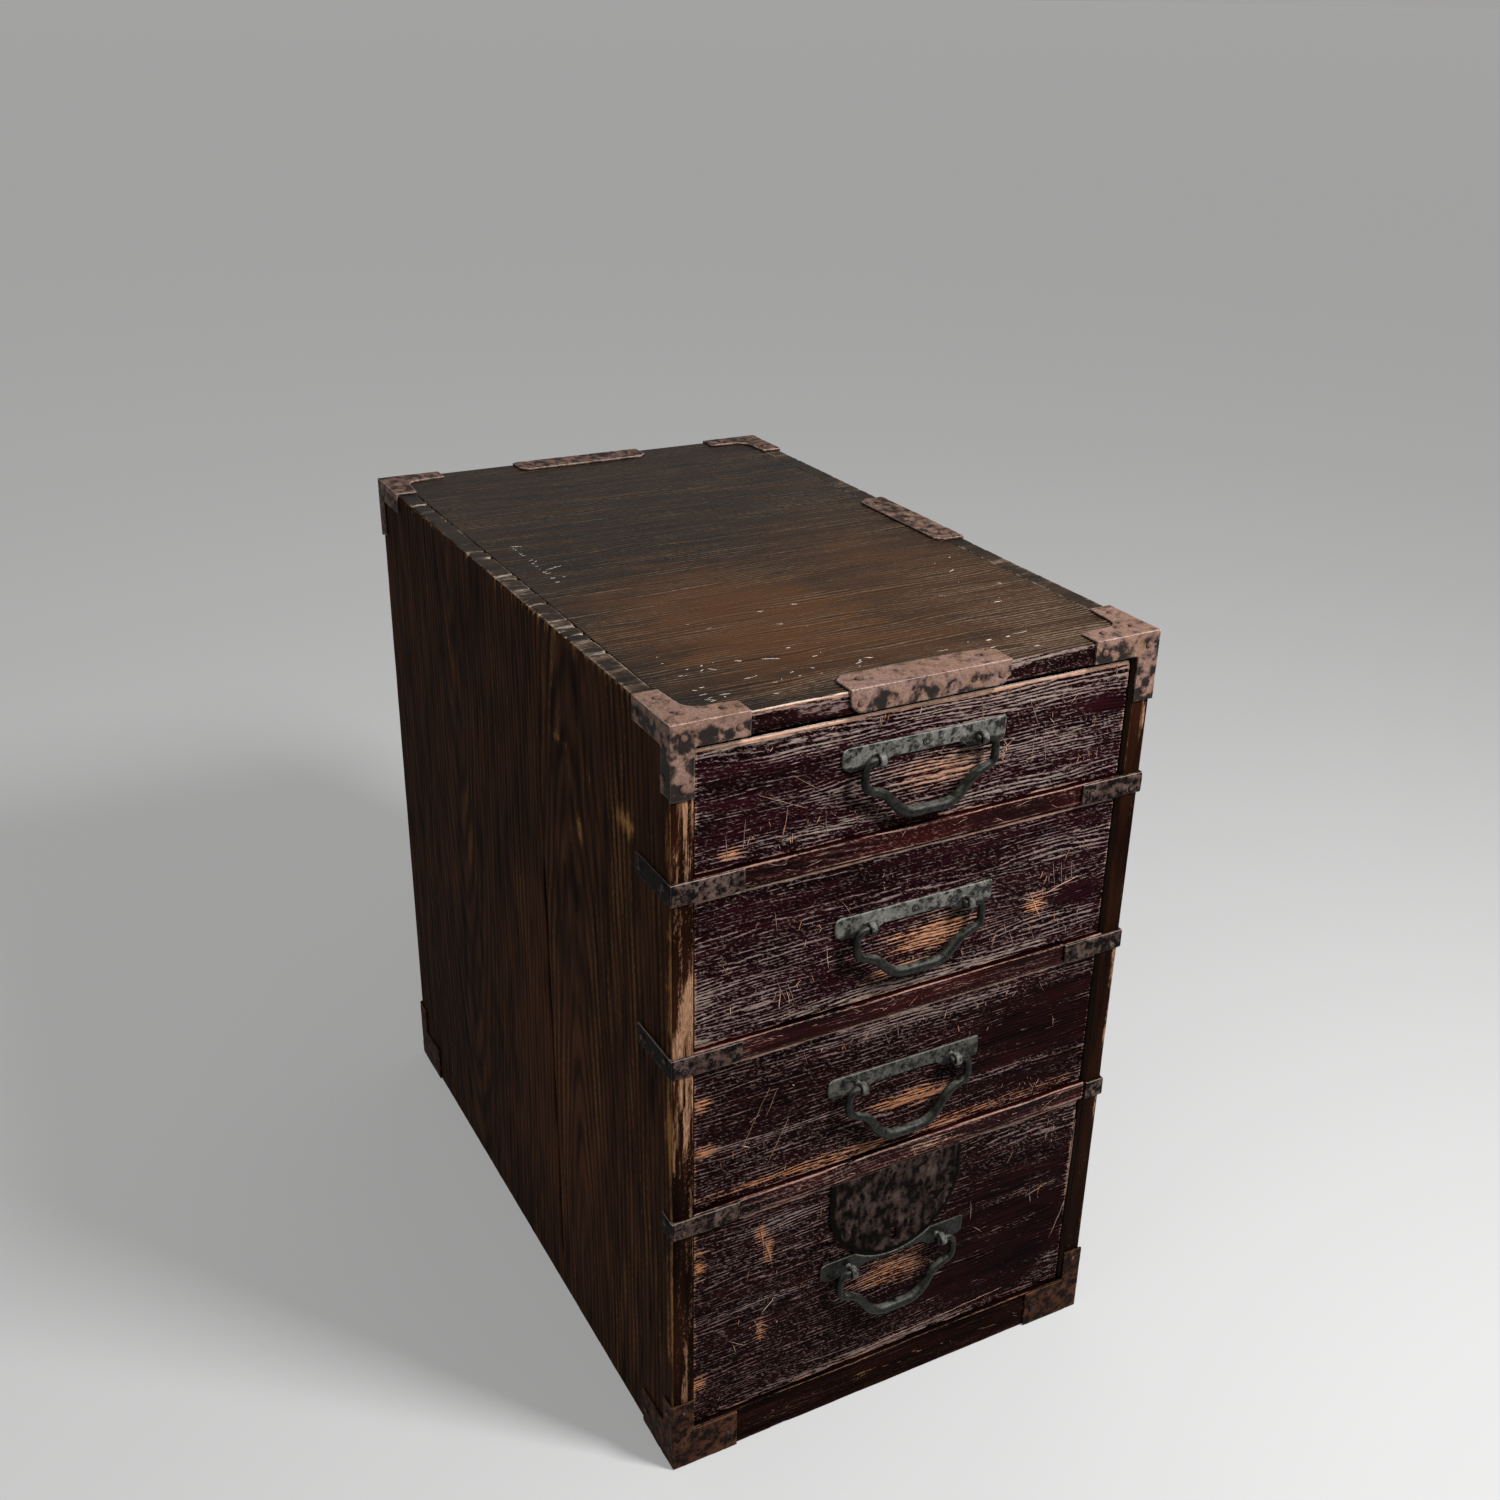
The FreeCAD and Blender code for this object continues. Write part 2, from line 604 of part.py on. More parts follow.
def bail(name, z, grip_drop):
    """Make a bail with round ends in the eyes and a sweep that is thickest at the grip."""
    y_axis, z_axis = number(BAIL_Y), number(z)
    tip, eye = "post_spacing / 2 - bail_tip", "post_spacing / 2 + post_width / 2 + bail_fit"
    shoulder = f"{eye} + bail_run + bail_bend"
    half = [
        (eye, "0"),
        (shoulder, "0"),
        (shoulder, "bail_shoulder_drop"),
        ("bail_neck", "bail_neck_drop"),
        ("bail_foot", grip_drop),
    ]
    right = [Vector(number(x), y_axis, z_axis - number(drop)) for x, drop in half]
    left = [Vector(-point.x, point.y, point.z) for point in right]
    bends = [number(text) for text in ("bail_bend", "bail_bend", "bail_sweep", "bail_bow")]
    path = doc.addObject("Part::Feature", f"{name}_path")
    path.Shape = rounded_path(left + right[::-1], bends + bends[::-1])
    sections = []
    stations = {"left": (f"-({eye})", "bail_end", z), "grip": ("0", "bail_grip", f"{z} - {grip_drop}"),
                "right": (eye, "bail_end", z)}
    for station, (x, radius, height) in stations.items():
        ring = doc.addObject("Part::Circle", f"{name}_{station}")
        ring.Placement = Placement(Vector(), Rotation(Vector(0, 0, 1), Vector(1, 0, 0)))
        bind(ring, {"Radius": radius})
        sections.append(put(ring, x, BAIL_Y, height))
    loop = doc.addObject("Part::Sweep", f"{name}_loop")
    loop.Sections = sections
    loop.Spine = (path, [f"Edge{index + 1}" for index in range(len(path.Shape.Edges))])
    loop.Solid = True
    loop.Frenet = False
    ends = [
        rod(f"{name}_end_{SIDE_NAMES[side]}", "bail_end", f"({eye}) - ({tip})",
            (f"{side} * ({tip})", BAIL_Y, z), Vector(side, 0, 0))
        for side in (LEFT, RIGHT)
    ]
    return keep(fuse(name, [loop, *ends]))


def lock_foot():
    """Give the height of the lock plate's lower end, which cuts into the handle plate."""
    return f"{bail_height(DRAWERS[-1])} + handle_end / 2 - handle_waist + lock_strip + lock_fit"


def lock_shape(name, radius, low_y, high_y):
    """Make a block with a straight top and a half-round lower end, as the lock plate has."""
    top = drawer_heights(DRAWERS[-1])[1]
    centre = f"{lock_foot()} + lock_width / 2"
    upper = box(f"{name}_upper", across(radius), (low_y, high_y), (centre, top))
    lower = doc.addObject("Part::Cylinder", f"{name}_lower")
    turned_down = Rotation(Vector(0, 1, 0), 180) * Rotation(Vector(1, 0, 0), 90)
    lower.Placement = Placement(Vector(), turned_down)
    lower.Angle = 180
    bind(lower, {"Radius": radius, "Height": f"({high_y}) - ({low_y})"})
    put(lower, "0", high_y, centre)
    return fuse(name, [upper, lower])


def handle(index):
    """Make the plate, posts and bail of a handle; give the holes that its drawer needs."""
    name = f"handle_{index}"
    z = bail_height(index)
    steps = ["0", "handle_tab", "handle_tab + handle_slope",
             "handle_length - handle_tab - handle_slope", "handle_length - handle_tab", "handle_length"]
    waist = "handle_end - handle_waist"
    points = [(steps[0], "0"), (steps[1], "0"), (steps[2], waist), (steps[3], waist), (steps[4], "0"),
              (steps[5], "0"), (steps[5], "handle_end"), (steps[0], "handle_end")]
    corner = ("-handle_length / 2", PLATE_Y, f"{z} - handle_end / 2")
    blank = outline_body(f"{name}_plate_blank", "XZ_Plane", points, "handle_iron", corner)
    posts, holes = [], []
    for side in (LEFT, RIGHT):
        x = f"{side} * post_spacing / 2"
        posts.append(handle_post(f"{name}_post_{SIDE_NAMES[side]}", x, z))
        holes.append(post_hole(f"{name}_post_hole_{SIDE_NAMES[side]}", x, z))
    tools = list(holes)
    if index == DRAWERS[-1]:
        around = lock_shape("lock_clearance", "lock_width / 2 + lock_fit", PLATE_Y, DRAWER_Y)
        tools.append(around)
    else:
        middle = f"{z} + handle_end / 2 - handle_waist / 2"
        posts.append(nail(f"{name}_nail", ("0", PLATE_Y, middle), Vector(0, FRONT, 0)))
    drill(f"{name}_plate", blank, tools)
    keep(group(f"{name}_posts", posts))
    bail(f"{name}_bail", z, f"bail_drop_{index}")
    return holes


# Lock of the lowest drawer


def lock():
    """Make the lock's plate, case and bolt; give the hollows that the drawer front needs."""
    top = drawer_heights(DRAWERS[-1])[1]
    inside = DRAWER_INSIDE_Y
    key_low = f"{lock_foot()} + key_rise"
    low = f"{key_low} - case_foot"
    keyhole = box("keyhole", across("key_width / 2"),
                  (f"{DRAWER_Y} - 2 * lock_iron", f"{inside} - case_depth / 2"),
                  (key_low, f"{key_low} + key_height"))
    plate = lock_shape("lock_plate_blank", "lock_width / 2", f"{DRAWER_Y} - lock_iron", DRAWER_Y)
    keep(cut("lock_plate", plate, [keyhole]))
    case_x, case_y = across("case_width / 2"), (f"{inside} - case_depth", inside)
    block = box("lock_case_blank", case_x, case_y, (low, top))
    slot = bolt_box("bolt_slot", "bolt_fit", f"{low} + case_wall", top)
    keep(cut("lock_case", block, [slot, keyhole]))
    keep(bolt_box("lock_bolt", "0", f"{top} - bolt_height", top))
    pocket = box("lock_pocket", across("case_width / 2 + case_fit"),
                 (f"{inside} - case_depth - case_fit", inside), (f"{low} - case_fit", top))
    return [pocket, keyhole]


# Drawers


def drawer(index, tools):
    """Make the front, sides, back and bottom of a drawer."""
    name = f"drawer_{index}"
    low, high = drawer_heights(index)
    width = f"2 * ({DRAWER_SIDE_X})"
    tall = f"({high}) - ({low})"
    points = [("0", "0"), (width, "0"), (width, tall), ("0", tall)]
    corner = (f"-({DRAWER_SIDE_X})", DRAWER_Y, low)
    blank = outline_body(f"{name}_front_blank", "XZ_Plane", points, "drawer_front", corner)
    bevel = blank.newObject("PartDesign::Chamfer", f"{name}_front_bevel")
    pad = blank.getObject(f"{name}_front_blank_pad")
    front = [f"Edge{place}" for place, edge in enumerate(pad.Shape.Edges, start=1)
             if abs(edge.BoundBox.YMax - pad.Shape.BoundBox.YMin) < Part.Precision.confusion()]
    bevel.Base = (pad, front)
    bind(bevel, {"Size": "front_bevel"})
    blank.Tip = bevel
    drill(f"{name}_front", blank, tools)
    floor = f"{low} + drawer_bottom"
    long = (DRAWER_INSIDE_Y, DRAWER_END_Y)
    keep(box(f"{name}_bottom", across(DRAWER_SIDE_X), long, (low, floor)))
    for side in (LEFT, RIGHT):
        board = beside(side, f"{DRAWER_SIDE_X} - drawer_side", DRAWER_SIDE_X)
        keep(box(f"{name}_{SIDE_NAMES[side]}", board, long, (floor, high)))
    back = (f"{DRAWER_END_Y} - drawer_back", DRAWER_END_Y)
    keep(box(f"{name}_back", across(f"{DRAWER_SIDE_X} - drawer_side"), back, (floor, high)))


# The whole chest


def build():
    """Make every sub-part of the chest."""
    nails = []
    for face in (FRONT, BACK):
        for side in (LEFT, RIGHT):
            nails += corner_iron(side, face)
            nails += foot_iron(side, face)
    nails += edge_plates()
    for side in (LEFT, RIGHT):
        nails += rail_straps(side)
    keep(group("iron_nails", nails))
    carcass_boards()
    for index in DRAWERS:
        tools = handle(index)
        if index == DRAWERS[-1]:
            tools = tools + lock()
        drawer(index, tools)


def check():
    """Stop if an object failed or a sub-part isn't a valid solid."""
    for item in doc.Objects:
        if {"Invalid", "Error"} & set(item.State):
            raise RuntimeError(f"{item.Label} failed: {item.State}")
    for label, piece in nodes.items():
        shape = piece.Shape
        if shape.isNull() or not shape.isValid() or not shape.Solids:
            raise RuntimeError(f"{label} has no valid solid")


def export():
    """Write each sub-part to its own file."""
    os.makedirs("parts", exist_ok=True)
    for label, piece in nodes.items():
        solids = piece.Shape.Solids
        shape = solids[0] if len(solids) == 1 else Part.Compound(solids)
        shape.exportStep(os.path.join("parts", f"{label}.step"))
    print(f"wrote {len(nodes)} sub-parts")


sheet = fill_sheet()
build()
doc.recompute()
check()
export()
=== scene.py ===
"""Looks of a small old chest of drawers bound with iron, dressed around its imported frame.

Lengths in the code are metres unless a name or a comment says millimetres. The origin is the middle of the
base, +Z is up and the drawers open towards -Y.
"""
import itertools
import logging
import math
from dataclasses import dataclass, field
from enum import Enum, IntEnum
from functools import cached_property
from typing import ClassVar

import bpy
import numpy as np
from mathutils import Euler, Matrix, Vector


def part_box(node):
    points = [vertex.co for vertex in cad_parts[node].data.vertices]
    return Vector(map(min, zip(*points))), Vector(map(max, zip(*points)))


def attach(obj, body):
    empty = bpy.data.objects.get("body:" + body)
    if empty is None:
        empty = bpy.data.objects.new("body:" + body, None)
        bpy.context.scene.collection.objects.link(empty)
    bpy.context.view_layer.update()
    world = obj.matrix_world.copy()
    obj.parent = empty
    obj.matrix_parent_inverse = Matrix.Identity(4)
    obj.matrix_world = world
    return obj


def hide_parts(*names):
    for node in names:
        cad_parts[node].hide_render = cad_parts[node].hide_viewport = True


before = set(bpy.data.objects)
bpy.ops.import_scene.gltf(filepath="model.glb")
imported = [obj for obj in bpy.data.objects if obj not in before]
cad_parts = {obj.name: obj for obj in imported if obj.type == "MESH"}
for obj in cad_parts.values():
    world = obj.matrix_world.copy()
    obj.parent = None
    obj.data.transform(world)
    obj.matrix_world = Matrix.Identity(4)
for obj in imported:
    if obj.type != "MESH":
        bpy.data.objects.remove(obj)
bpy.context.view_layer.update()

Pair = tuple[float, float]
Triple = tuple[float, float, float]

LOG = logging.getLogger("chest")
MM = 0.001
# Outside sizes of the wood, in millimetres, and what turns places into distances from its front left foot
CHEST_WIDTH = 285.0
CHEST_DEPTH = 455.0
FROM_CORNER = np.array([CHEST_WIDTH / 2, CHEST_DEPTH / 2, 0.0])
# Distance that counts as none, and the distance between two points on a bend, in millimetres
NEAR = 0.001
BEND_STEP = 1.2
# How close nicks come to the ends and to the long edges of a board, in millimetres
NICK_MARGIN = 16.0
NICK_EDGE = 1.6
# Numbers of the drawer with the lock and of the rail that its bolt goes up into
LOCKED = 4
BOLT_RAIL = 3
# How far the bolt rises, and the room round it, in millimetres
BOLT_THROW = 7.0
BOLT_FIT = 0.3
# Large odd numbers that scatter the cells of a lattice
CELL_HASH = np.array([73856093, 19349663, 83492791])
SEED_HASH = 2654435761
MIX_HASH = (1274126177, 2246822519)
LOW_BITS = 0xFFFFFFFF


# Names for the choices in this file


class Axis(IntEnum):
    """An axis of the frame, as the place of its coordinate."""

    X = 0
    Y = 1
    Z = 2


class Side(IntEnum):
    """A side of a block, in the order in which its quads are made."""

    LEFT = 0
    RIGHT = 1
    FRONT = 2
    BACK = 3
    UNDER = 4
    TOP = 5


class Wear(Enum):
    """What time did to a patch of lacquered wood."""

    WORN = "rubbed to pale grain"
    BARE = "rubbed through to orange wood"
    KEPT = "still under thick lacquer"
    AMBER = "under a clear warm film"


# Numbers and noise


def linear(code: str) -> tuple[float, float, float, float]:
    """Turn an sRGB hex value into linear light.

    Args:
        code: six hex digits after a hash sign.

    Returns:
        Red, green, blue and an alpha of 1.
    """
    parts = [int(code[place:place + 2], 16) / 255 for place in (1, 3, 5)]
    red, green, blue = [c / 12.92 if c <= 0.04045 else ((c + 0.055) / 1.055) ** 2.4 for c in parts]
    return red, green, blue, 1.0


def smooth(low: float, high: float, values: np.ndarray) -> np.ndarray:
    """Rise smoothly from 0 at low to 1 at high."""
    share = np.clip((values - low) / (high - low), 0.0, 1.0)
    return share * share * (3.0 - 2.0 * share)


def noise(places: np.ndarray, seed: int) -> np.ndarray:
    """Give smooth noise on a unit lattice.

    Args:
        places: points, one per row.
        seed: which of the endless noises.

    Returns:
        One value from -1 to 1 for each point.
    """
    base = np.floor(places).astype(np.int64)
    part = places - base
    fade = part ** 3 * (part * (part * 6 - 15) + 10)
    total = np.zeros(len(places))
    for corner in itertools.product((0, 1), repeat=3):
        cell = base + np.array(corner)
        mixed = np.bitwise_xor.reduce(cell * CELL_HASH, axis=1) ^ (seed * SEED_HASH)
        mixed = ((mixed ^ (mixed >> 13)) * MIX_HASH[0]) & LOW_BITS
        mixed = ((mixed ^ (mixed >> 15)) * MIX_HASH[1]) & LOW_BITS
        value = ((mixed ^ (mixed >> 16)) & 0xFFFF) / 0x7FFF - 1.0
        weight = np.prod(np.where(np.array(corner) == 1, fade, 1.0 - fade), axis=1)
        total += value * weight
    return total


def cloudy(places: np.ndarray, size: float | Triple, seed: int, layers: int = 2) -> np.ndarray:
    """Give lumpy noise with finer lumps on it.

    Args:
        places: points, one per row.
        size: length of the lumps, or their length along each axis, in millimetres.
        seed: which of the endless noises.
        layers: how often finer lumps follow, each time half as long and half as strong.

    Returns:
        One value from -1 to 1 for each point.
    """
    scaled = places / (np.array(size) * MM)
    parts = [noise(scaled * 2 ** layer, seed + 31 * layer) / 2 ** layer for layer in range(layers)]
    return sum(parts) / sum(0.5 ** layer for layer in range(layers))


def ridges(places: np.ndarray, grain: Axis, spacing: float, run: float, seed: int,
           depth: np.ndarray | None = None, sway: float = 5.0, keen: float = 1.0,
           jitter: float = 0.2) -> np.ndarray:
    """Give the raised growth lines of old wood.

    Args:
        places: points on the wood.
        grain: the axis that the grain follows.
        spacing: distance between two lines, in millimetres.
        run: length over which a line stays strong, in millimetres.
        seed: which board.
        depth: each point's distance from the tree's heart in millimetres, if the lines aren't straight.
        sway: how far the lines stray, in millimetres.
        keen: how narrow the ridges are; at 1 they are as wide as the hollows.
        jitter: how far a line strays over a short run, in parts of the spacing.

    Returns:
        0 in the hollows to 1 on the ridges.
    """
    across = [axis for axis in Axis if axis != grain]
    slow = tuple(90.0 if axis == grain else 16.0 for axis in Axis)
    short = tuple(run if axis == grain else 1.4 * spacing for axis in Axis)
    if depth is None:
        depth = places[:, across].sum(axis=1) / MM
    depth = depth + sway * cloudy(places, slow, seed, layers=3)
    depth = depth + jitter * spacing * cloudy(places, short, seed + 3)
    wave = (0.5 + 0.5 * np.cos(2.0 * math.pi * depth / spacing)) ** keen
    strength = smooth(-0.9, 0.5, cloudy(places, short, seed + 5))
    return np.clip(wave * strength + 0.35 * (1.0 - strength), 0.0, 1.0)


# Meshes


@dataclass
class Skin:
    """A closed mesh in the making.

    Attributes:
        points: its points, one per row.
        faces: the points of each face.
        slots: which finish each face has, if they differ.
        flat: faces that aren't shaded smooth.
        marks: named values at the points, which the finish reads.
    """

    points: np.ndarray
    faces: list[list[int]]
    slots: list[int] = field(default_factory=list)
    flat: set[int] = field(default_factory=set)
    marks: dict[str, np.ndarray] = field(default_factory=dict)

    def place(self, name: str, materials: list[bpy.types.Material]) -> bpy.types.Object:
        """Make the mesh an object of the scene.

        Args:
            name: the piece's name.
            materials: its finishes, in the order of the slots.

        Returns:
            The new object, at the origin.
        """
        mesh = bpy.data.meshes.new(name)
        mesh.from_pydata(self.points.tolist(), [], self.faces)
        for material in materials:
            mesh.materials.append(material)
        if self.slots:
            mesh.polygons.foreach_set("material_index", self.slots)
        rounded = [place not in self.flat for place in range(len(self.faces))]
        mesh.polygons.foreach_set("use_smooth", rounded)
        for mark, values in self.marks.items():
            layer = mesh.attributes.new(mark, "FLOAT", "POINT")
            layer.data.foreach_set("value", np.asarray(values, np.float32))
        mesh.update()
        piece = bpy.data.objects.new(name, mesh)
        bpy.context.scene.collection.objects.link(piece)
        return piece

    def join(self, *others: "Skin") -> "Skin":
        """Add other skins; a mark that one of them lacks is 0 there.

        Args:
            others: the skins to add.

        Returns:
            This skin.
        """
        for other in others:
            start = len(self.points)
            for name in sorted(self.marks.keys() | other.marks.keys()):
                values = [skin.marks.get(name, np.zeros(len(skin.points))) for skin in (self, other)]
                self.marks = {**self.marks, name: np.concatenate(values)}
            if self.slots:
                self.slots = self.slots + (other.slots or [0] * len(other.faces))
            self.flat = self.flat | {len(self.faces) + place for place in other.flat}
            self.faces = self.faces + [[start + corner for corner in face] for face in other.faces]
            self.points = np.vstack([self.points, other.points])
        return self


def settle(piece: bpy.types.Object, body: str, slot: str, *nodes: str) -> None:
    """Let a piece ride on a body and stand for its nodes.

    Args:
        piece: the placed piece.
        body: name of the body.
        slot: name of the material slot, not used.
        nodes: the nodes of the frame that the piece stands for.
    """
    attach(piece, body)
    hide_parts(*nodes)
    LOG.info("%s stands for %s on %s", piece.name, ", ".join(nodes), body)


@dataclass
class Block:
    """A sawn board: a closed cuboid of quads whose skin can be worn down.

    Attributes:
        low: lowest corner.
        high: highest corner.
        steps: distance between two points along each axis, in millimetres.
        extra: further places along an axis that need points.
        plain: sides that stay one flat face, because nothing on them shows.
    """

    # Distances of the points near an arris from it, in millimetres
    ARRIS: ClassVar[tuple[float, ...]] = (0.0, 0.45, 1.0, 1.8, 3.0)

    low: Vector
    high: Vector
    steps: Triple
    extra: dict[Axis, np.ndarray] = field(default_factory=dict)
    plain: tuple[Side, ...] = ()

    def __post_init__(self) -> None:
        """Lay out the points and quads."""
        self.corners = np.array(self.low), np.array(self.high)
        lines = [self.stations(axis) for axis in Axis]
        grid = np.stack(np.meshgrid(*lines, indexing="ij"), -1)
        shell = np.zeros(grid.shape[:3], bool)
        for axis in Axis:
            view = np.moveaxis(shell, axis, 0)
            view[0] = view[-1] = True
        index = np.full(grid.shape[:3], -1)
        index[shell] = np.arange(shell.sum())
        self.points = grid[shell]
        self.rest = self.points.copy()
        self.faces: list[list[int]] = []
        self.sides: list[int] = []
        self.flat: set[int] = set()
        for side in Side:
            self.cover(side, index)

    def stations(self, axis: Axis) -> np.ndarray:
        """Place points along an axis, close together near both ends, where the arris is worn.

        Args:
            axis: the axis.

        Returns:
            The places of the points, in metres.
        """
        low, high = self.corners[0][axis], self.corners[1][axis]
        near = [step * MM for step in self.ARRIS if step * MM < 0.4 * (high - low)]
        count = max(1, round((high - low - 2 * near[-1]) / (self.steps[axis] * MM)))
        middle = np.linspace(low + near[-1], high - near[-1], count + 1)
        ends = [low + step for step in near[:-1]] + [high - step for step in near[:-1]]
        return np.unique(np.concatenate([middle, ends, self.extra.get(axis, np.empty(0))]).round(7))

    def cover(self, side: Side, index: np.ndarray) -> None:
        """Close one side with quads, or with one face if it stays plain.

        Args:
            side: the side.
            index: each point's number in the grid of stations.
        """
        axis, upper = divmod(side, 2)
        layer = np.take(index, -upper, axis=axis)
        turned = (upper == 0) != (axis == Axis.Y)
        if side in self.plain:
            rim = np.concatenate([layer[:-1, 0], layer[-1, :-1], layer[:0:-1, -1], layer[0, :0:-1]])
            quads = [(rim[::-1] if turned else rim).tolist()]
            self.flat.add(len(self.faces))
        else:
            around = [layer[:-1, :-1], layer[1:, :-1], layer[1:, 1:], layer[:-1, 1:]]
            grid = np.stack(around, -1).reshape(-1, 4)
            quads = (grid[:, ::-1] if turned else grid).tolist()
        self.faces += quads
        self.sides += [side] * len(quads)

    def along(self, axis: Axis) -> np.ndarray:
        """Give each point's distance from the chest's left, front or foot, in millimetres."""
        return self.rest[:, axis] / MM + FROM_CORNER[axis]

    def under(self, side: Side) -> np.ndarray:
        """Give each point's distance from a side, in millimetres."""
        axis, upper = divmod(side, 2)
        return np.abs(self.rest[:, axis] - self.corners[upper][axis]) / MM

    def on(self, side: Side) -> np.ndarray:
        """Say which points lie on a side."""
        return self.under(side) < NEAR

    def dent(self, side: Side, depth: np.ndarray) -> None:
        """Sink the points of a side.

        Args:
            side: the side.
            depth: how deep at each point, in metres.
        """
        axis, upper = divmod(side, 2)
        inward = -1.0 if upper else 1.0
        self.points[:, axis] += np.where(self.on(side), inward * np.maximum(depth, 0.0), 0.0)

    def soften(self, radius: np.ndarray) -> None:
        """Round the arrises.

        Args:
            radius: each point's own radius, in metres.
        """
        low, high = self.corners
        limit = np.minimum(radius, 0.45 * (high - low).min())[:, None]
        inner = np.clip(self.points, low + limit, high - limit)
        out = self.points - inner
        length = np.linalg.norm(out, axis=1, keepdims=True)
        self.points = inner + out * np.minimum(1.0, limit / np.maximum(length, 1e-9))

    def limits(self, side: Side, sag: float = 0.0) -> tuple[np.ndarray, np.ndarray]:
        """Give the room that nicks on the front or the top keep to.

        Args:
            side: the side with the nicks.
            sag: how much lower the room ends, in millimetres.

        Returns:
            Its lowest and highest corner, measured as for a scratch.
        """
        low, high = (corner / MM + FROM_CORNER for corner in self.corners)
        axes = [Axis.X, Axis.Y if side == Side.TOP else Axis.Z]
        margin = np.array([NICK_MARGIN, NICK_EDGE])
        return low[axes] + margin, high[axes] - margin - np.array([0.0, sag])

    def arris(self) -> np.ndarray:
        """Give each point's distance from the nearest arris, in millimetres."""
        low, high = self.corners
        return np.sort(np.minimum(self.rest - low, high - self.rest), axis=1)[:, 1] / MM

    def skin(self, marks: dict[str, np.ndarray], finish: dict[Side, int] | None = None) -> Skin:
        """Give the finished mesh.

        Args:
            marks: named values at the points.
            finish: the slot of each side's finish, where it isn't the first.

        Returns:
            The skin, kept inside the board's own box.
        """
        slots = [(finish or {}).get(Side(side), 0) for side in self.sides]
        points = np.clip(self.points, *self.corners)
        return Skin(points, self.faces, slots, self.flat, marks)


def turns(count: int) -> np.ndarray:
    """Give evenly spaced angles round a circle."""
    return np.linspace(0.0, 2 * math.pi, count, endpoint=False)


def tube(rows: int, count: int, closed: bool = False) -> list[list[int]]:
    """Give the quads between rings of points that follow each other.

    Args:
        rows: number of rings.
        count: points in each ring.
        closed: whether the last ring meets the first.

    Returns:
        The four points of each quad.
    """
    faces = []
    for row in range(rows if closed else rows - 1):
        here, there = row * count, (row + 1) % rows * count
        for place in range(count):
            ahead = (place + 1) % count
            faces.append([here + place, here + ahead, there + ahead, there + place])
    return faces


def prism(outline: list[Pair], axis: Axis, low: float, high: float) -> Skin:
    """Raise an outline along an axis.

    Args:
        outline: its points, along the other two axes in their order.
        axis: the axis.
        low: where the prism starts.
        high: where it ends.

    Returns:
        The closed prism.
    """
    layers = [np.insert(np.array(outline, float), axis, level, axis=1) for level in (low, high)]
    count = len(outline)
    ring = list(range(count))
    faces = [ring[::-1], [count + place for place in ring], *tube(2, count)]
    return Skin(np.vstack(layers), faces)


def rounded(path: list[Pair], radii: list[float]) -> np.ndarray:
    """Round the corners of a line.

    Args:
        path: its points.
        radii: the bend at each point between the first and the last.

    Returns:
        The points of the rounded line.
    """
    line = [np.array(point, float) for point in path]
    out = [line[0]]
    for before, corner, after, radius in zip(line, line[1:], line[2:], radii):
        back, ahead = before - corner, after - corner
        back, ahead = back / np.linalg.norm(back), ahead / np.linalg.norm(ahead)
        half = math.acos(float(np.clip(back @ ahead, -1.0, 1.0))) / 2
        middle = (back + ahead) / np.linalg.norm(back + ahead)
        centre = corner + middle * radius / math.sin(half)
        start, end = (corner + way * radius / math.tan(half) - centre for way in (back, ahead))
        sweep = math.pi - 2 * half
        for share in np.linspace(0.0, 1.0, max(6, round(radius * sweep / BEND_STEP))):
            turned = start * math.sin((1 - share) * sweep) + end * math.sin(share * sweep)
            out.append(centre + turned / math.sin(sweep))
    out.append(line[-1])
    return np.array(out)


def slab(low: Triple, high: Triple) -> Skin:
    """Make a plain block of metal, to be joined to others and hammered."""
    (x0, y0, z0), (x1, y1, z1) = low, high
    return prism([(x0, y0), (x1, y0), (x1, y1), (x0, y1)], Axis.Z, z0, z1)


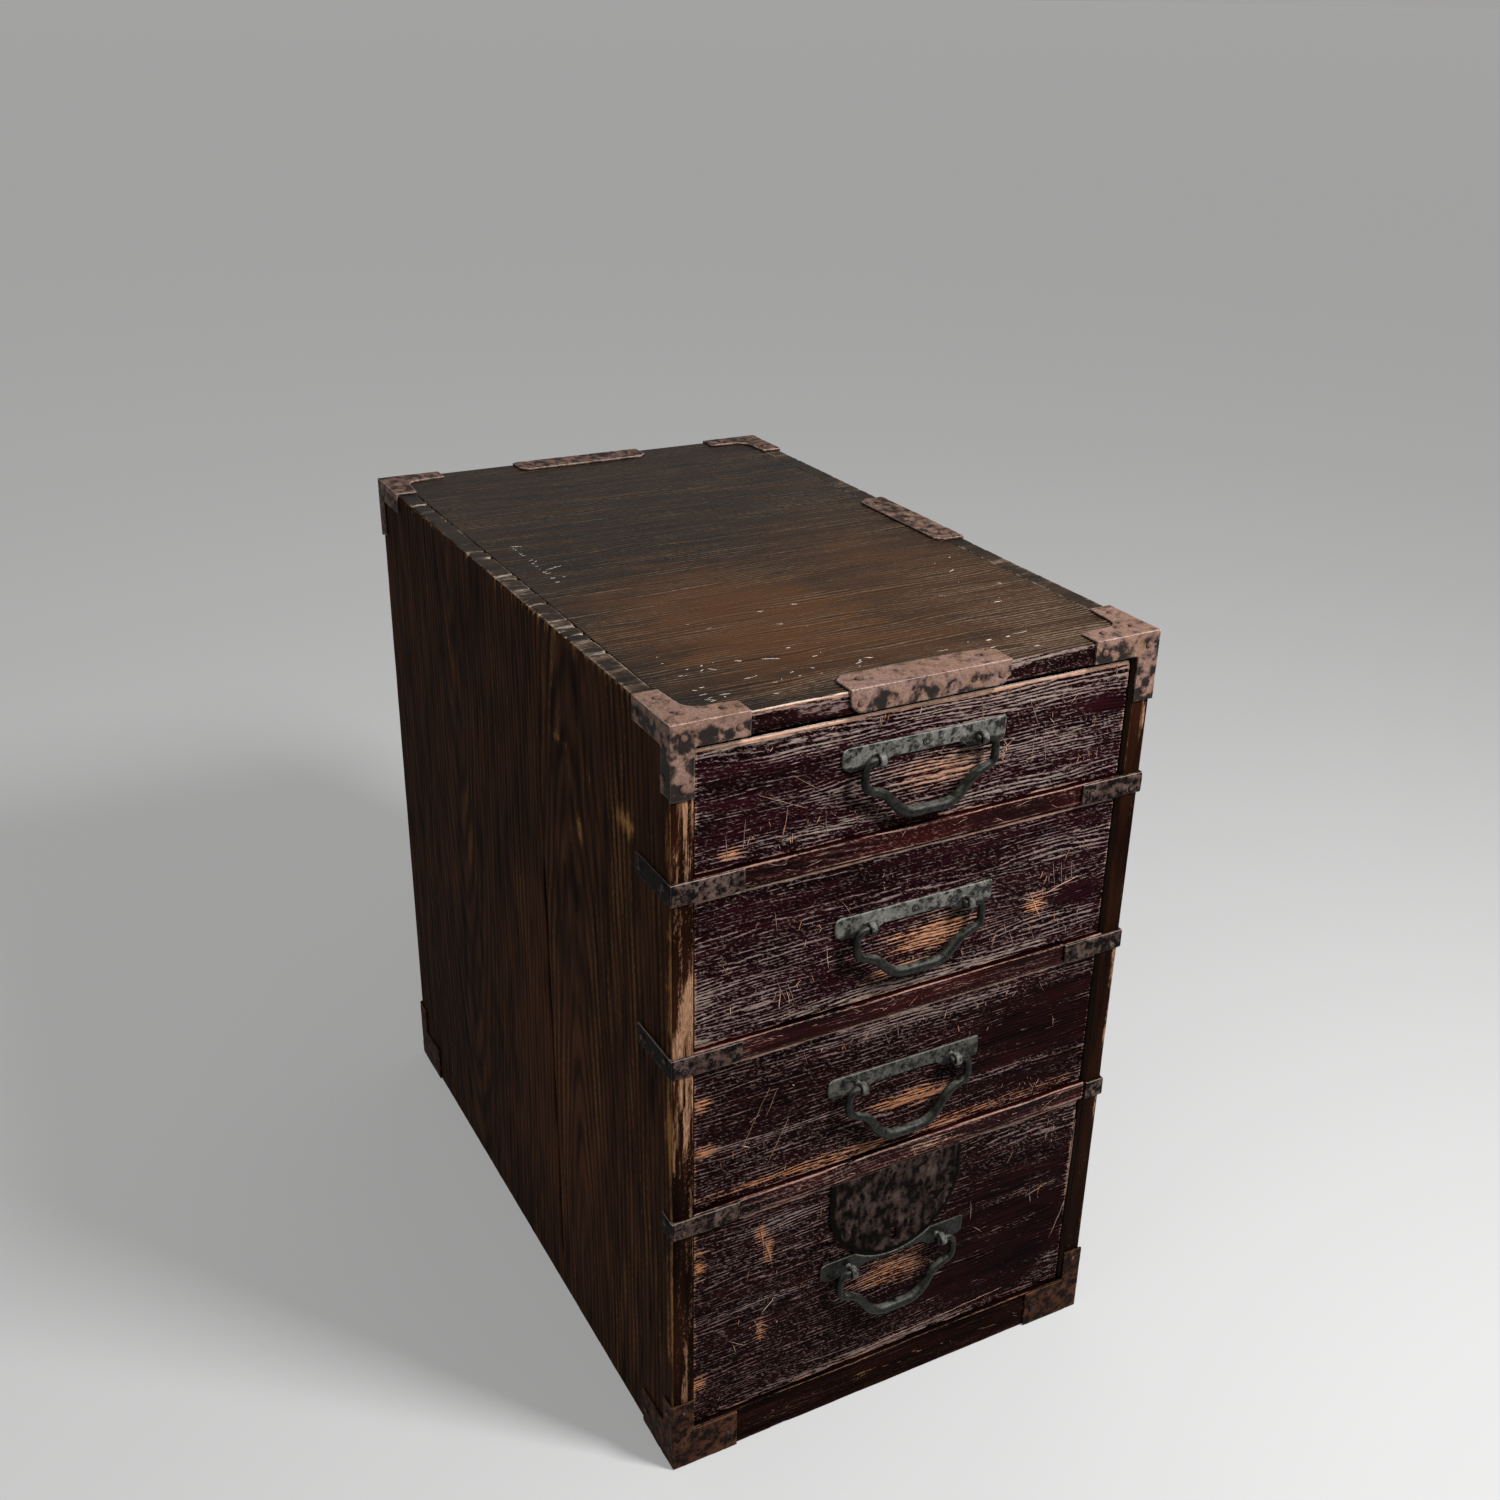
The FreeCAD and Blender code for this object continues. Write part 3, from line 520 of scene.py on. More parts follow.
@dataclass
class Hammer:
    """How a smith and the years shaped sheet iron; lengths in millimetres.

    Attributes:
        grid: size of the mesh's cells.
        wobble: how far an edge strays from straight.
        reach: length of such a stray.
        dent: depth of the hammer's dents.
        dent_size: width of such a dent.
        pit: depth of the rust's pits.
        pit_size: width of such a pit.
    """

    grid: float = 0.7
    wobble: float = 0.5
    reach: float = 7.0
    dent: float = 0.12
    dent_size: float = 9.0
    pit: float = 0.25
    pit_size: float = 2.2

    def shape(self, parts: list[Skin], seed: int, low: Vector, high: Vector) -> Skin:
        """Weld the parts into one skin, then bend, dent and pit it.

        Args:
            parts: closed meshes that touch or overlap.
            seed: which piece of iron.
            low: lowest corner of the room that it has.
            high: highest corner of that room.

        Returns:
            The skin, with the marks edge, for rubbed edges that carry a painted highlight where they face up,
            and pit.
        """
        rough = parts[0].join(*parts[1:]).place("blank", [])
        weld = rough.modifiers.new("weld", "REMESH")
        weld.mode = "VOXEL"
        weld.voxel_size = self.grid * MM
        ready = rough.evaluated_get(bpy.context.evaluated_depsgraph_get())
        mesh = bpy.data.meshes.new_from_object(ready)
        old = rough.data
        bpy.data.objects.remove(rough)
        bpy.data.meshes.remove(old)
        points = np.empty(len(mesh.vertices) * 3, np.float32)
        normals = np.empty_like(points)
        mesh.vertices.foreach_get("co", points)
        mesh.vertices.foreach_get("normal", normals)
        faces = [list(polygon.vertices) for polygon in mesh.polygons]
        bpy.data.meshes.remove(mesh)
        points, normals = points.reshape(-1, 3).astype(float), normals.reshape(-1, 3).astype(float)
        # Rubbed edges are paler where they face up: worn metal with a painted highlight
        upward = 0.3 + 0.7 * smooth(0.15, 0.6, normals[:, Axis.Z])
        edge = upward * smooth(0.05, 0.3, 1.0 - np.abs(normals).max(axis=1))
        stray = np.stack([cloudy(points, self.reach, seed + axis) for axis in Axis], -1)
        pits = smooth(0.2, 0.8, cloudy(points, self.pit_size, seed + 7))
        dents = cloudy(points, self.dent_size, seed + 9) * self.dent - self.pit * pits
        aside = stray * (1.0 - np.abs(normals))
        points = points + aside * self.wobble * MM + normals * dents[:, None] * MM
        return Skin(np.clip(points, low, high), faces, marks={"edge": edge, "pit": pits})


# Finishes


class Shader:
    """The nodes of a material or of the sky."""

    def __init__(self, owner: bpy.types.Material | bpy.types.World) -> None:
        """Start with no nodes.

        Args:
            owner: what the nodes belong to.
        """
        owner.use_nodes = True
        self.tree = owner.node_tree
        self.tree.nodes.clear()

    @cached_property
    def where(self) -> bpy.types.NodeSocket:
        """Give the piece's own coordinates."""
        return self.add("TexCoord", out="Object")

    def seen(self) -> bpy.types.NodeSocket:
        """Tell the rays of the camera, of mirrors and of glass from those that light things.

        Returns:
            1 for rays that look, 0 for rays that light.
        """
        ray = self.add("LightPath", out="Is Camera Ray")
        for other in ("Is Glossy Ray", "Is Transmission Ray"):
            ray = self.add("Math", {0: ray, 1: self.add("LightPath", out=other)}, operation="MAXIMUM")
        return ray

    def add(self, kind: str, inputs: dict | None = None, out: str | int = 0,
            **settings: object) -> bpy.types.NodeSocket | None:
        """Add a node with its settings and links.

        Args:
            kind: the node's type without its common start.
            inputs: a value, or the socket to link, for each input.
            out: the output that is wanted.
            settings: the node's own properties.

        Returns:
            That output, if the node has any.
        """
        node = self.tree.nodes.new(f"ShaderNode{kind}")
        for name, value in settings.items():
            setattr(node, name, value)
        for name, value in (inputs or {}).items():
            if isinstance(value, bpy.types.NodeSocket):
                self.tree.links.new(value, node.inputs[name])
            else:
                node.inputs[name].default_value = value
        return node.outputs[out] if node.outputs else None

    def pattern(self, size: Triple, turn: Triple = (0.0, 0.0, 0.0),
                detail: float = 2.0) -> bpy.types.NodeSocket:
        """Add noise that spreads from 0 to 1.

        Args:
            size: length of its lumps along each axis, in millimetres.
            turn: angles by which the axes are turned.
            detail: finer layers.

        Returns:
            The noise.
        """
        place = self.add("Mapping", {"Vector": self.where, "Rotation": turn,
                                     "Scale": [side * MM for side in size]}, vector_type="TEXTURE")
        value = self.add("TexNoise", {"Vector": place, "Scale": 1.0, "Detail": detail, "Roughness": 0.6})
        return self.add("MapRange", {"Value": value, "From Min": 0.3, "From Max": 0.7})


@dataclass(frozen=True)
class Finish:
    """A surface finish, made into a material once.

    Attributes:
        name: the real material and how it was made.
        made: the materials so far.
    """

    name: str

    made: ClassVar[dict[str, bpy.types.Material]] = {}

    def material(self) -> bpy.types.Material:
        """Give the material, made at the first call.

        Returns:
            The material.
        """
        if self.name not in self.made:
            material = bpy.data.materials.new(self.name)
            self.dress(Shader(material))
            self.made[self.name] = material
        return self.made[self.name]

    def dress(self, shader: Shader) -> None:
        """Add the finish's nodes."""
        raise NotImplementedError


@dataclass(frozen=True)
class LacqueredWood(Finish):
    """Old softwood under dark lacquer, planed, lacquered and rubbed for generations.

    The eye sees a near-black red film in the hollows, pale dry grain where hands and cloths wore the ridges,
    and orange wood where the film is gone.

    Attributes:
        grain: the axis that the grain follows.
        dark: the film where it is thick.
        red: the film where it is thin.
        thin: grain that just comes through.
        worn: grain rubbed dry.
        bare: wood without film.
        streak: length and width of the streaks, in millimetres.
        gloss: roughness of the film.
        sheen: how much the film mirrors.
        hollow: how much painted shade darkens the hollows of the grain.
        dry: wear at which grain begins to look dry, and at which it is quite dry.
        gain: how much more the ridges wear than the hollows.
        mottle: how much the thickness of the film varies.
        raw: fibres torn open.
        fray: how much the streaks and the flecks break up the wear.
        knocks: how pale the specks are that knocks left in the film.
        fleck: length and width of the flecks, in millimetres.
        edge: how far under and over half wear the film thins out; small values give crisp pale lines.
    """

    # Wear that half bares ridges of middling height
    HALF_WORN: ClassVar[float] = 0.425

    grain: Axis = Axis.X
    dark: str = "#0e0406"
    red: str = "#35121a"
    thin: str = "#6a5554"
    worn: str = "#927f78"
    bare: str = "#c4845c"
    streak: Pair = (13.0, 0.9)
    gloss: float = 0.45
    sheen: float = 0.012
    hollow: float = 0.75
    dry: Pair = (0.3, 0.7)
    gain: float = 1.08
    mottle: float = 0.75
    raw: str = "#e2ccbd"
    fray: Pair = (0.65, 0.5)
    knocks: float = 0.7
    # Real flecks are a quarter of a millimetre wide; this is the finest that shows at this distance
    fleck: Pair = (4.2, 0.75)
    edge: Pair = (0.25, 0.3)

    def lay(self, along: float, across: float) -> Triple:
        """Give sizes along and across the grain in the order of the axes."""
        return tuple(along if axis == self.grain else across for axis in Axis)

    def dress(self, shader: Shader) -> None:
        """Add the film, its wear and the grain.

        Args:
            shader: the material's nodes.
        """
        add = shader.add
        wear, ridge, bare, tint = (add("Attribute", out="Fac", attribute_name=name)
                                   for name in ("wear", "ridge", "bare", "tint"))
        streaks = shader.pattern(self.lay(*self.streak))
        flecks = shader.pattern(self.lay(*self.fleck), detail=2.0)
        specks = shader.pattern(self.lay(2.2, 0.9), turn=(0.0, 0.35, 0.0), detail=1.0)
        broad = shader.pattern(self.lay(60.0, 9.0))
        # Wear bites first on the ridges, and the streaks break its outline
        raised = add("Math", {0: ridge, 1: self.gain, 2: wear}, operation="MULTIPLY_ADD")
        raised = add("Math", {0: streaks, 1: self.fray[0], 2: raised}, operation="MULTIPLY_ADD")
        raised = add("Math", {0: flecks, 1: self.fray[1], 2: raised}, operation="MULTIPLY_ADD")
        middle = 0.5 * (self.gain + sum(self.fray)) + self.HALF_WORN
        loss = add("MapRange", {"Value": raised, "From Min": middle - self.edge[0],
                                "From Max": middle + self.edge[1]}, interpolation_type="SMOOTHSTEP")
        film_share = add("Math", {0: broad, 1: self.mottle, 2: tint}, operation="MULTIPLY_ADD",
                         use_clamp=True)
        film = add("MixRGB", {"Fac": film_share, "Color1": linear(self.dark), "Color2": linear(self.red)})
        # Single ridges in the film are only thinly covered, whole rubbed zones are dry
        zone = add("MapRange", {"Value": wear, "From Min": self.dry[0], "From Max": self.dry[1]})
        dry = add("MixRGB", {"Fac": zone, "Color1": linear(self.thin), "Color2": linear(self.worn)})
        dry = add("MixRGB", {"Fac": bare, "Color1": dry, "Color2": linear(self.bare)}, use_clamp=True)
        grey = add("MapRange", {"Value": flecks, "To Min": 0.45, "To Max": 1.3})
        grey = add("CombineColor", {0: grey, 1: grey, 2: grey})
        dry = add("MixRGB", {"Fac": 1.0, "Color1": dry, "Color2": grey}, blend_type="MULTIPLY")
        torn = add("Math", {0: bare, 1: 1.0}, operation="SUBTRACT", use_clamp=True)
        dry = add("MixRGB", {"Fac": torn, "Color1": dry, "Color2": linear(self.raw)})
        colour = add("MixRGB", {"Fac": loss, "Color1": film, "Color2": dry})
        # Knocks leave pale specks in the film
        knocked = add("MapRange", {"Value": wear, "From Min": -0.1, "From Max": 0.4, "To Max": self.knocks})
        speck = add("MapRange", {"Value": specks, "From Min": 0.72, "From Max": 0.95})
        speck = add("Math", {0: speck, 1: knocked}, operation="MULTIPLY")
        colour = add("MixRGB", {"Fac": speck, "Color1": colour, "Color2": linear(self.worn)})
        # Painted shade darkens the hollows of the grain; bare wood gets less of it than the film
        lit = add("Math", {0: bare, 1: 0.12, 2: ridge}, operation="MULTIPLY_ADD")
        shade = add("MapRange", {"Value": lit, "From Max": 0.6, "To Min": 1.0 - self.hollow})
        shade = add("CombineColor", {0: shade, 1: shade, 2: shade})
        colour = add("MixRGB", {"Fac": 1.0, "Color1": colour, "Color2": shade}, blend_type="MULTIPLY")
        rough = add("MapRange", {"Value": loss, "To Min": self.gloss, "To Max": 0.8})
        relief = add("Math", {0: loss, 1: -0.3, 2: streaks}, operation="MULTIPLY_ADD")
        bump = add("Bump", {"Height": relief, "Strength": 0.6, "Distance": 0.3 * MM})
        surface = add("BsdfPrincipled", {"Base Color": colour, "Roughness": rough, "Normal": bump,
                                         "Specular IOR Level": self.sheen})
        add("OutputMaterial", {"Surface": surface})


@dataclass(frozen=True)
class BareWood(Finish):
    """Unfinished softwood, sawn and planed, brown with age and handling.

    The eye sees soft growth lines, a little dust in them and darker stains.

    Attributes:
        grain: the axis that the grain follows.
        pale: early wood.
        late: late wood.
        stain: dirt and age.
    """

    grain: Axis = Axis.Y
    pale: str = "#9a7550"
    late: str = "#6b4a2e"
    stain: str = "#3a281b"

    def dress(self, shader: Shader) -> None:
        """Add growth lines, stains and a dry surface.

        Args:
            shader: the material's nodes.
        """
        add = shader.add
        lines = shader.pattern(tuple(90.0 if axis == self.grain else 2.2 for axis in Axis), detail=4.0)
        cloud = shader.pattern(tuple(110.0 if axis == self.grain else 30.0 for axis in Axis), detail=3.0)
        wood = add("MixRGB", {"Fac": lines, "Color1": linear(self.pale), "Color2": linear(self.late)})
        dirt = add("MapRange", {"Value": cloud, "From Min": 0.4, "To Max": 0.7})
        colour = add("MixRGB", {"Fac": dirt, "Color1": wood, "Color2": linear(self.stain)})
        bump = add("Bump", {"Height": lines, "Strength": 0.4, "Distance": 0.2 * MM})
        surface = add("BsdfPrincipled", {"Base Color": colour, "Normal": bump, "Roughness": 0.8,
                                         "Specular IOR Level": 0.25})
        add("OutputMaterial", {"Surface": surface})


@dataclass(frozen=True)
class OldIron(Finish):
    """Forged sheet iron, hammered, blackened and rusted in a dry house.

    The eye sees a matt skin of brown rust with dark scale and pits, and paler metal where edges are rubbed,
    with a painted highlight on the upper edges.

    Attributes:
        rust: the skin where it is thick.
        warm: the same where it is browner.
        scale: dark forge scale that is left.
        rubbed: edges that are touched, and the painted highlight on upper edges.
        patch: size of the patches of scale, in millimetres.
        share: how much of the surface the scale holds, from 0 to 1.
        stretch: how much longer the patches are upwards.
        matt: roughness of the skin.
        sheen: how much it mirrors.
        blur: how softly rust turns into scale.
    """

    rust: str = "#886a61"
    warm: str = "#836550"
    scale: str = "#251a16"
    rubbed: str = "#cdb8ad"
    patch: float = 6.0
    share: float = 0.35
    stretch: float = 1.0
    matt: float = 0.65
    sheen: float = 0.2
    blur: float = 0.32

    def dress(self, shader: Shader) -> None:
        """Add rust, scale, pits and rubbed edges.

        Args:
            shader: the material's nodes.
        """
        add = shader.add
        edge, pit = (add("Attribute", out="Fac", attribute_name=name) for name in ("edge", "pit"))
        patchy = shader.pattern((self.patch, self.patch, self.patch * self.stretch), detail=4.0)
        grit = shader.pattern((1.3,) * 3, detail=3.0)
        broad = shader.pattern((14.0,) * 3, detail=3.0)
        mixed = add("Math", {0: grit, 1: 0.45, 2: patchy}, operation="MULTIPLY_ADD")
        mixed = add("Math", {0: pit, 1: 0.6, 2: mixed}, operation="MULTIPLY_ADD")
        limit = 1.35 - 0.9 * self.share
        held = add("MapRange", {"Value": mixed, "From Min": limit - self.blur, "From Max": limit + self.blur},
                   interpolation_type="SMOOTHSTEP")
        rust = add("MixRGB", {"Fac": broad, "Color1": linear(self.rust), "Color2": linear(self.warm)})
        skin = add("MixRGB", {"Fac": held, "Color1": rust, "Color2": linear(self.scale)})
        # Pale rubbed edges, with a painted highlight on the upper ones
        rub = add("Math", {0: edge, 1: 0.75}, operation="MULTIPLY")
        skin = add("MixRGB", {"Fac": rub, "Color1": skin, "Color2": linear(self.rubbed)})
        tone = add("MapRange", {"Value": grit, "To Min": 0.5, "To Max": 1.3})
        tone = add("CombineColor", {0: tone, 1: tone, 2: tone})
        colour = add("MixRGB", {"Fac": 1.0, "Color1": skin, "Color2": tone}, blend_type="MULTIPLY")
        bump = add("Bump", {"Height": mixed, "Strength": 0.5, "Distance": 0.25 * MM})
        surface = add("BsdfPrincipled", {"Base Color": colour, "Roughness": self.matt, "Normal": bump,
                                         "Specular IOR Level": self.sheen})
        add("OutputMaterial", {"Surface": surface})


@dataclass(frozen=True)
class PaleConcrete(Finish):
    """A plain pale studio floor, rolled smooth and matt.

    Attributes:
        tone: its colour.
        glow: how much paler it looks to the camera and in mirrors, without lighting anything.
    """

    tone: str = "#b6b6b6"
    glow: float = 0.24

    def dress(self, shader: Shader) -> None:
        """Add an even, matt surface.

        Args:
            shader: the material's nodes.
        """
        add = shader.add
        glow = add("Math", {0: shader.seen(), 1: self.glow}, operation="MULTIPLY")
        surface = add("BsdfPrincipled", {"Base Color": linear(self.tone), "Roughness": 0.9,
                                         "Emission Color": linear("#ffffff"), "Emission Strength": glow})
        add("OutputMaterial", {"Surface": surface})


# Near-black wine red with pale dry lines, most worn
FRONT_LACQUER = LacqueredWood("worn urushi lacquer on cedar, upper fronts", thin="#7d6866", worn="#99867d",
                              edge=(0.1, 0.17))
# The same, browner and less worn
LOWER_LACQUER = LacqueredWood("worn urushi lacquer on cedar, lower fronts", dark="#0b0405", red="#2f1113",
                              thin="#705a56", bare="#b5764c", edge=(0.1, 0.17))
# Deep red that still shines a little
RAIL_LACQUER = LacqueredWood("urushi lacquer on cedar, rails", dark="#0d0303", red="#3b0d0c", thin="#705450",
                             worn="#93786f", bare="#c49a80", streak=(28.0, 0.9), gloss=0.38, sheen=0.03,
                             hollow=0.65, gain=1.3, fray=(0.4, 0.5))
# Almost black with dirt from the floor
BASE_LACQUER = LacqueredWood("dirty lacquer on cedar, base", dark="#0b0504", red="#26110c", thin="#3b2620",
                             worn="#6b5247", bare="#a07a58", streak=(28.0, 0.9), sheen=0.006, hollow=0.5,
                             knocks=0.3, gain=1.1, fray=(0.4, 0.5))
# Dark brown streaks between long strips of pale wood
STILE_WOOD = LacqueredWood("worn lacquer on cedar, front edges", grain=Axis.Z, dark="#140803", red="#33190e",
                           thin="#523622", worn="#8a674f", bare="#a57c60", streak=(26.0, 0.6), gain=1.1,
                           dry=(-0.1, 0.5), fray=(0.5, 0.4))
# Even dark brown in which the growth lines just show
SIDE_LACQUER = LacqueredWood("rubbed lacquer on cedar, sides", grain=Axis.Z, dark="#1b120b", red="#523424",
                             thin="#553522", worn="#715238", bare="#a87a48", streak=(45.0, 1.2), gloss=0.55,
                             sheen=0.007, hollow=0.65, gain=0.58, mottle=0.8, raw="#b08a5c", dry=(-0.2, 0.5),
                             fray=(0.34, 0.34), knocks=0.15)
# A soft mirror of the sky over dark brown, amber where cloths polished it
TOP_LACQUER = LacqueredWood("rubbed lacquer on cedar, top", dark="#13110e", red="#573415", thin="#3a2d22",
                            worn="#77614e", bare="#cfc2b4", streak=(30.0, 0.9), gloss=0.4, sheen=0.103,
                            hollow=0.85, gain=1.0, mottle=0.3, raw="#d5cbc0", dry=(-0.2, 0.5),
                            fray=(0.34, 0.34), knocks=0.3)
# Dry honey brown, along the drawers and across them
INSIDE_WOOD = BareWood("bare aged cedar, insides", grain=Axis.Y)
INSIDE_CROSS = BareWood("bare aged cedar, across", grain=Axis.X)
# Near-black painted shade on the insides of the sides, in which the gaps beside the drawers vanish
GAP_SHADE_WOOD = BareWood("cedar in painted shade, insides of the sides", grain=Axis.Z, pale="#2e1f14", late="#20150d",
                        stain="#100a07")
# Dull brown, never lacquered
BACK_WOOD = BareWood("plain aged cedar, back", grain=Axis.X, pale="#5a4433", late="#3f2e22", stain="#241a14")
# Dusty pinkish brown with dark blots
CORNER_IRON = OldIron("rusted sheet iron, corners", rust="#8e6f66", scale="#1e1513", share=0.34, blur=0.36)
# Dark reddish brown
FOOT_IRON = OldIron("red rusted sheet iron, feet", rust="#5b3929", warm="#422618", scale="#110905",
                    rubbed="#7a5a45", share=0.69, sheen=0.06, blur=0.28)
# Nearly black with some brown rust
STRAP_IRON = OldIron("dark oxidised iron, straps", rust="#67554e", warm="#48362f", scale="#0a0605",
                     rubbed="#b8a49b", patch=5.0, share=0.7, sheen=0.06, blur=0.26)
# Brown domes with a dark ring of dirt
NAIL_IRON = OldIron("forged iron, nail heads", rust="#77594f", warm="#6d5142", scale="#1a110f",
                    rubbed="#a88f83", patch=3.0, share=0.15)
# Blackish green-grey with paler rubbed metal, and a painted highlight on the upper sides
BAIL_IRON = OldIron("patinated forged iron, bails", rust="#1c1d19", warm="#24241d", scale="#080807",
                    rubbed="#77776e", patch=2.5, share=0.62, matt=0.42, sheen=0.16, blur=0.2)
# Mid grey flecked with black scale, then the same duller
HANDLE_IRON = OldIron("patinated forged iron, handles", rust="#777570", warm="#5a5953", scale="#171614",
                      rubbed="#a8a8a0", patch=4.5, share=0.58, matt=0.5, sheen=0.18, blur=0.28)
DULL_IRON = OldIron("dull forged iron, lower handles", rust="#575650", warm="#42413b", scale="#111110",
                    rubbed="#8c8c84", patch=4.5, share=0.6, matt=0.5, sheen=0.16, blur=0.28)
# The back plates grow darker from the top drawer to the lowest
PLATE_IRONS = (HANDLE_IRON, HANDLE_IRON, DULL_IRON, BAIL_IRON)
# Black with deep brown pits
LOCK_IRON = OldIron("pitted forged iron, lock", rust="#554540", warm="#2a1f1a", scale="#070403",
                    rubbed="#4a3b34", patch=4.5, share=0.76, stretch=1.9, sheen=0.03, blur=0.36)


# Wear on lacquered boards


@dataclass(frozen=True)
class Patch:
    """A patch of wear on a face, in millimetres from the chest's front left lower corner.

    Attributes:
        across: place along the face, rightwards on the front and backwards on a side.
        up: height, or distance from the front on the top.
        half: half its width and height.
        kind: what happened there.
        strength: how much of it.
    """

    across: float
    up: float
    half: Pair
    kind: Wear = Wear.WORN
    strength: float = 1.0

    def cover(self, first: np.ndarray, second: np.ndarray, ragged: np.ndarray) -> np.ndarray:
        """Say how far the patch covers points given in millimetres on the face."""
        away = np.hypot((first - self.across) / self.half[0], (second - self.up) / self.half[1])
        return self.strength * smooth(1.5, 0.3, away + 0.5 * ragged)


def worn_marks(patches: list[Patch], first: np.ndarray, second: np.ndarray, ragged: np.ndarray,
               base: np.ndarray) -> dict[str, np.ndarray]:
    """Work out the marks of a lacquered face from its patches.

    Args:
        patches: the patches of wear.
        first: each point's place across the face, in millimetres.
        second: each point's place up the face, in millimetres.
        ragged: noise that frays the patches' outlines.
        base: wear before any patch.

    Returns:
        The marks wear, bare and tint.
    """
    wear, bare, tint = base.copy(), np.zeros(len(base)), np.zeros(len(base))
    for patch in patches:
        cover = patch.cover(first, second, ragged)
        if patch.kind is Wear.KEPT:
            wear -= 0.34 * cover
        elif patch.kind is Wear.AMBER:
            tint = np.maximum(tint, cover)
        else:
            wear += 0.46 * cover
        if patch.kind is Wear.BARE:
            bare = np.maximum(bare, 1.1 * cover)
    return {"wear": wear, "bare": bare, "tint": tint}


@dataclass(frozen=True)
class Scratch:
    """Fibres torn up along a scratch, in millimetres from the chest's front left lower corner.

    Attributes:
        start: one end: rightwards, and up on a front or backwards on the top.
        end: the other end.
        width: width at its middle.
        pale: how pale its fibres are, from 0 for dry grain over 1 for orange to 2 for cream.
    """

    # Points along a scratch, and how deep its fibres stand in the wood, in millimetres
    COUNT: ClassVar[int] = 9
    DEPTH: ClassVar[float] = 0.5

    start: Pair
    end: Pair
    width: float = 0.22
    pale: float = 0.1

    def score(self, skin: Skin, side: Side, level: float, seed: int) -> None:
        """Add the fibres to the front or the top of a board.

        Args:
            skin: the board.
            side: which of the two sides.
            level: where the board's box ends there, in metres.
            seed: which scratch.
        """
        axis, inward = (Axis.Y, 1.0) if side is Side.FRONT else (Axis.Z, -1.0)
        origin = np.delete(FROM_CORNER, axis)
        share = np.linspace(0.0, 1.0, self.COUNT)[:, None]
        start, end = np.array(self.start) - origin, np.array(self.end) - origin
        way = (end - start) / np.linalg.norm(end - start)
        flank = np.array([-way[1], way[0]])
        line = start + share * (end - start)
        stray = cloudy(np.insert(line, 1, 0.0, axis=1) * MM, 5.0, seed)[:, None]
        line = line + 0.5 * stray * flank
        half = 0.5 * self.width * (0.1 + np.sin(math.pi * share)) * (1.0 + 0.6 * stray)
        corners = []
        for flank_side, depth in ((-1, self.DEPTH), (-1, 0.0), (1, 0.0), (1, self.DEPTH)):
            height = np.full(self.COUNT, level + inward * depth * MM)
            corners.append(np.insert((line + flank_side * half * flank) * MM, axis, height, axis=1))
        ring = np.stack(corners, axis=1).reshape(-1, 3)
        last = len(ring)
        faces = [*tube(self.COUNT, 4), [3, 2, 1, 0], [last - 4, last - 3, last - 2, last - 1]]
        values = {"wear": 2.0, "bare": self.pale, "ridge": 1.0}
        skin.join(Skin(ring, faces, marks={name: np.full(last, value) for name, value in values.items()}))


@dataclass(frozen=True)
class Knocks:
    """A place of a face that gets knocked, in millimetres from the chest's front left lower corner.

    Attributes:
        across: its middle, rightwards.
        up: height of its middle, or the middle's distance from the front on the top.
        half: half its width and height.
        count: how many nicks it has.
    """

    across: float
    up: float
    half: Pair
    count: int


def scatter(places: list[Knocks], limits: tuple[np.ndarray, np.ndarray], lean: float, widths: Pair,
            pales: Pair, seed: int) -> list[Scratch]:
    """Scatter small nicks over the places of a face that get knocked.

    Args:
        places: the places.
        limits: lowest and highest corner that the nicks keep to.
        lean: angle that most nicks follow.
        widths: least and greatest width.
        pales: least and greatest paleness.
        seed: number that fixes the pattern.

    Returns:
        The nicks.
    """
    generator = np.random.default_rng(seed)
    found = []
    for place in places:
        for _ in range(place.count):
            middle = np.array([place.across, place.up]) + generator.normal(0.0, 0.6, 2) * np.array(place.half)
            length, turn = generator.gamma(2.0, 1.6), generator.normal(lean, 0.35)
            step = 0.5 * length * np.array([math.cos(turn), math.sin(turn)])
            reach = np.minimum(np.abs(step), 0.45 * (limits[1] - limits[0]))
            middle = np.clip(middle, limits[0] + reach, limits[1] - reach)
            ends = [tuple(np.clip(middle + way * step, *limits).tolist()) for way in (-1, 1)]
            found.append(Scratch(*ends, generator.uniform(*widths), generator.uniform(*pales)))
    return found


# Sub-assemblies

# Distance between two growth lines, and the length over which a line stays strong, in millimetres
GRAIN = {"front": (2.1, 16.0), "side": (5.2, 90.0), "top": (2.6, 50.0), "rail": (2.4, 60.0),
         "back": (5.0, 70.0)}


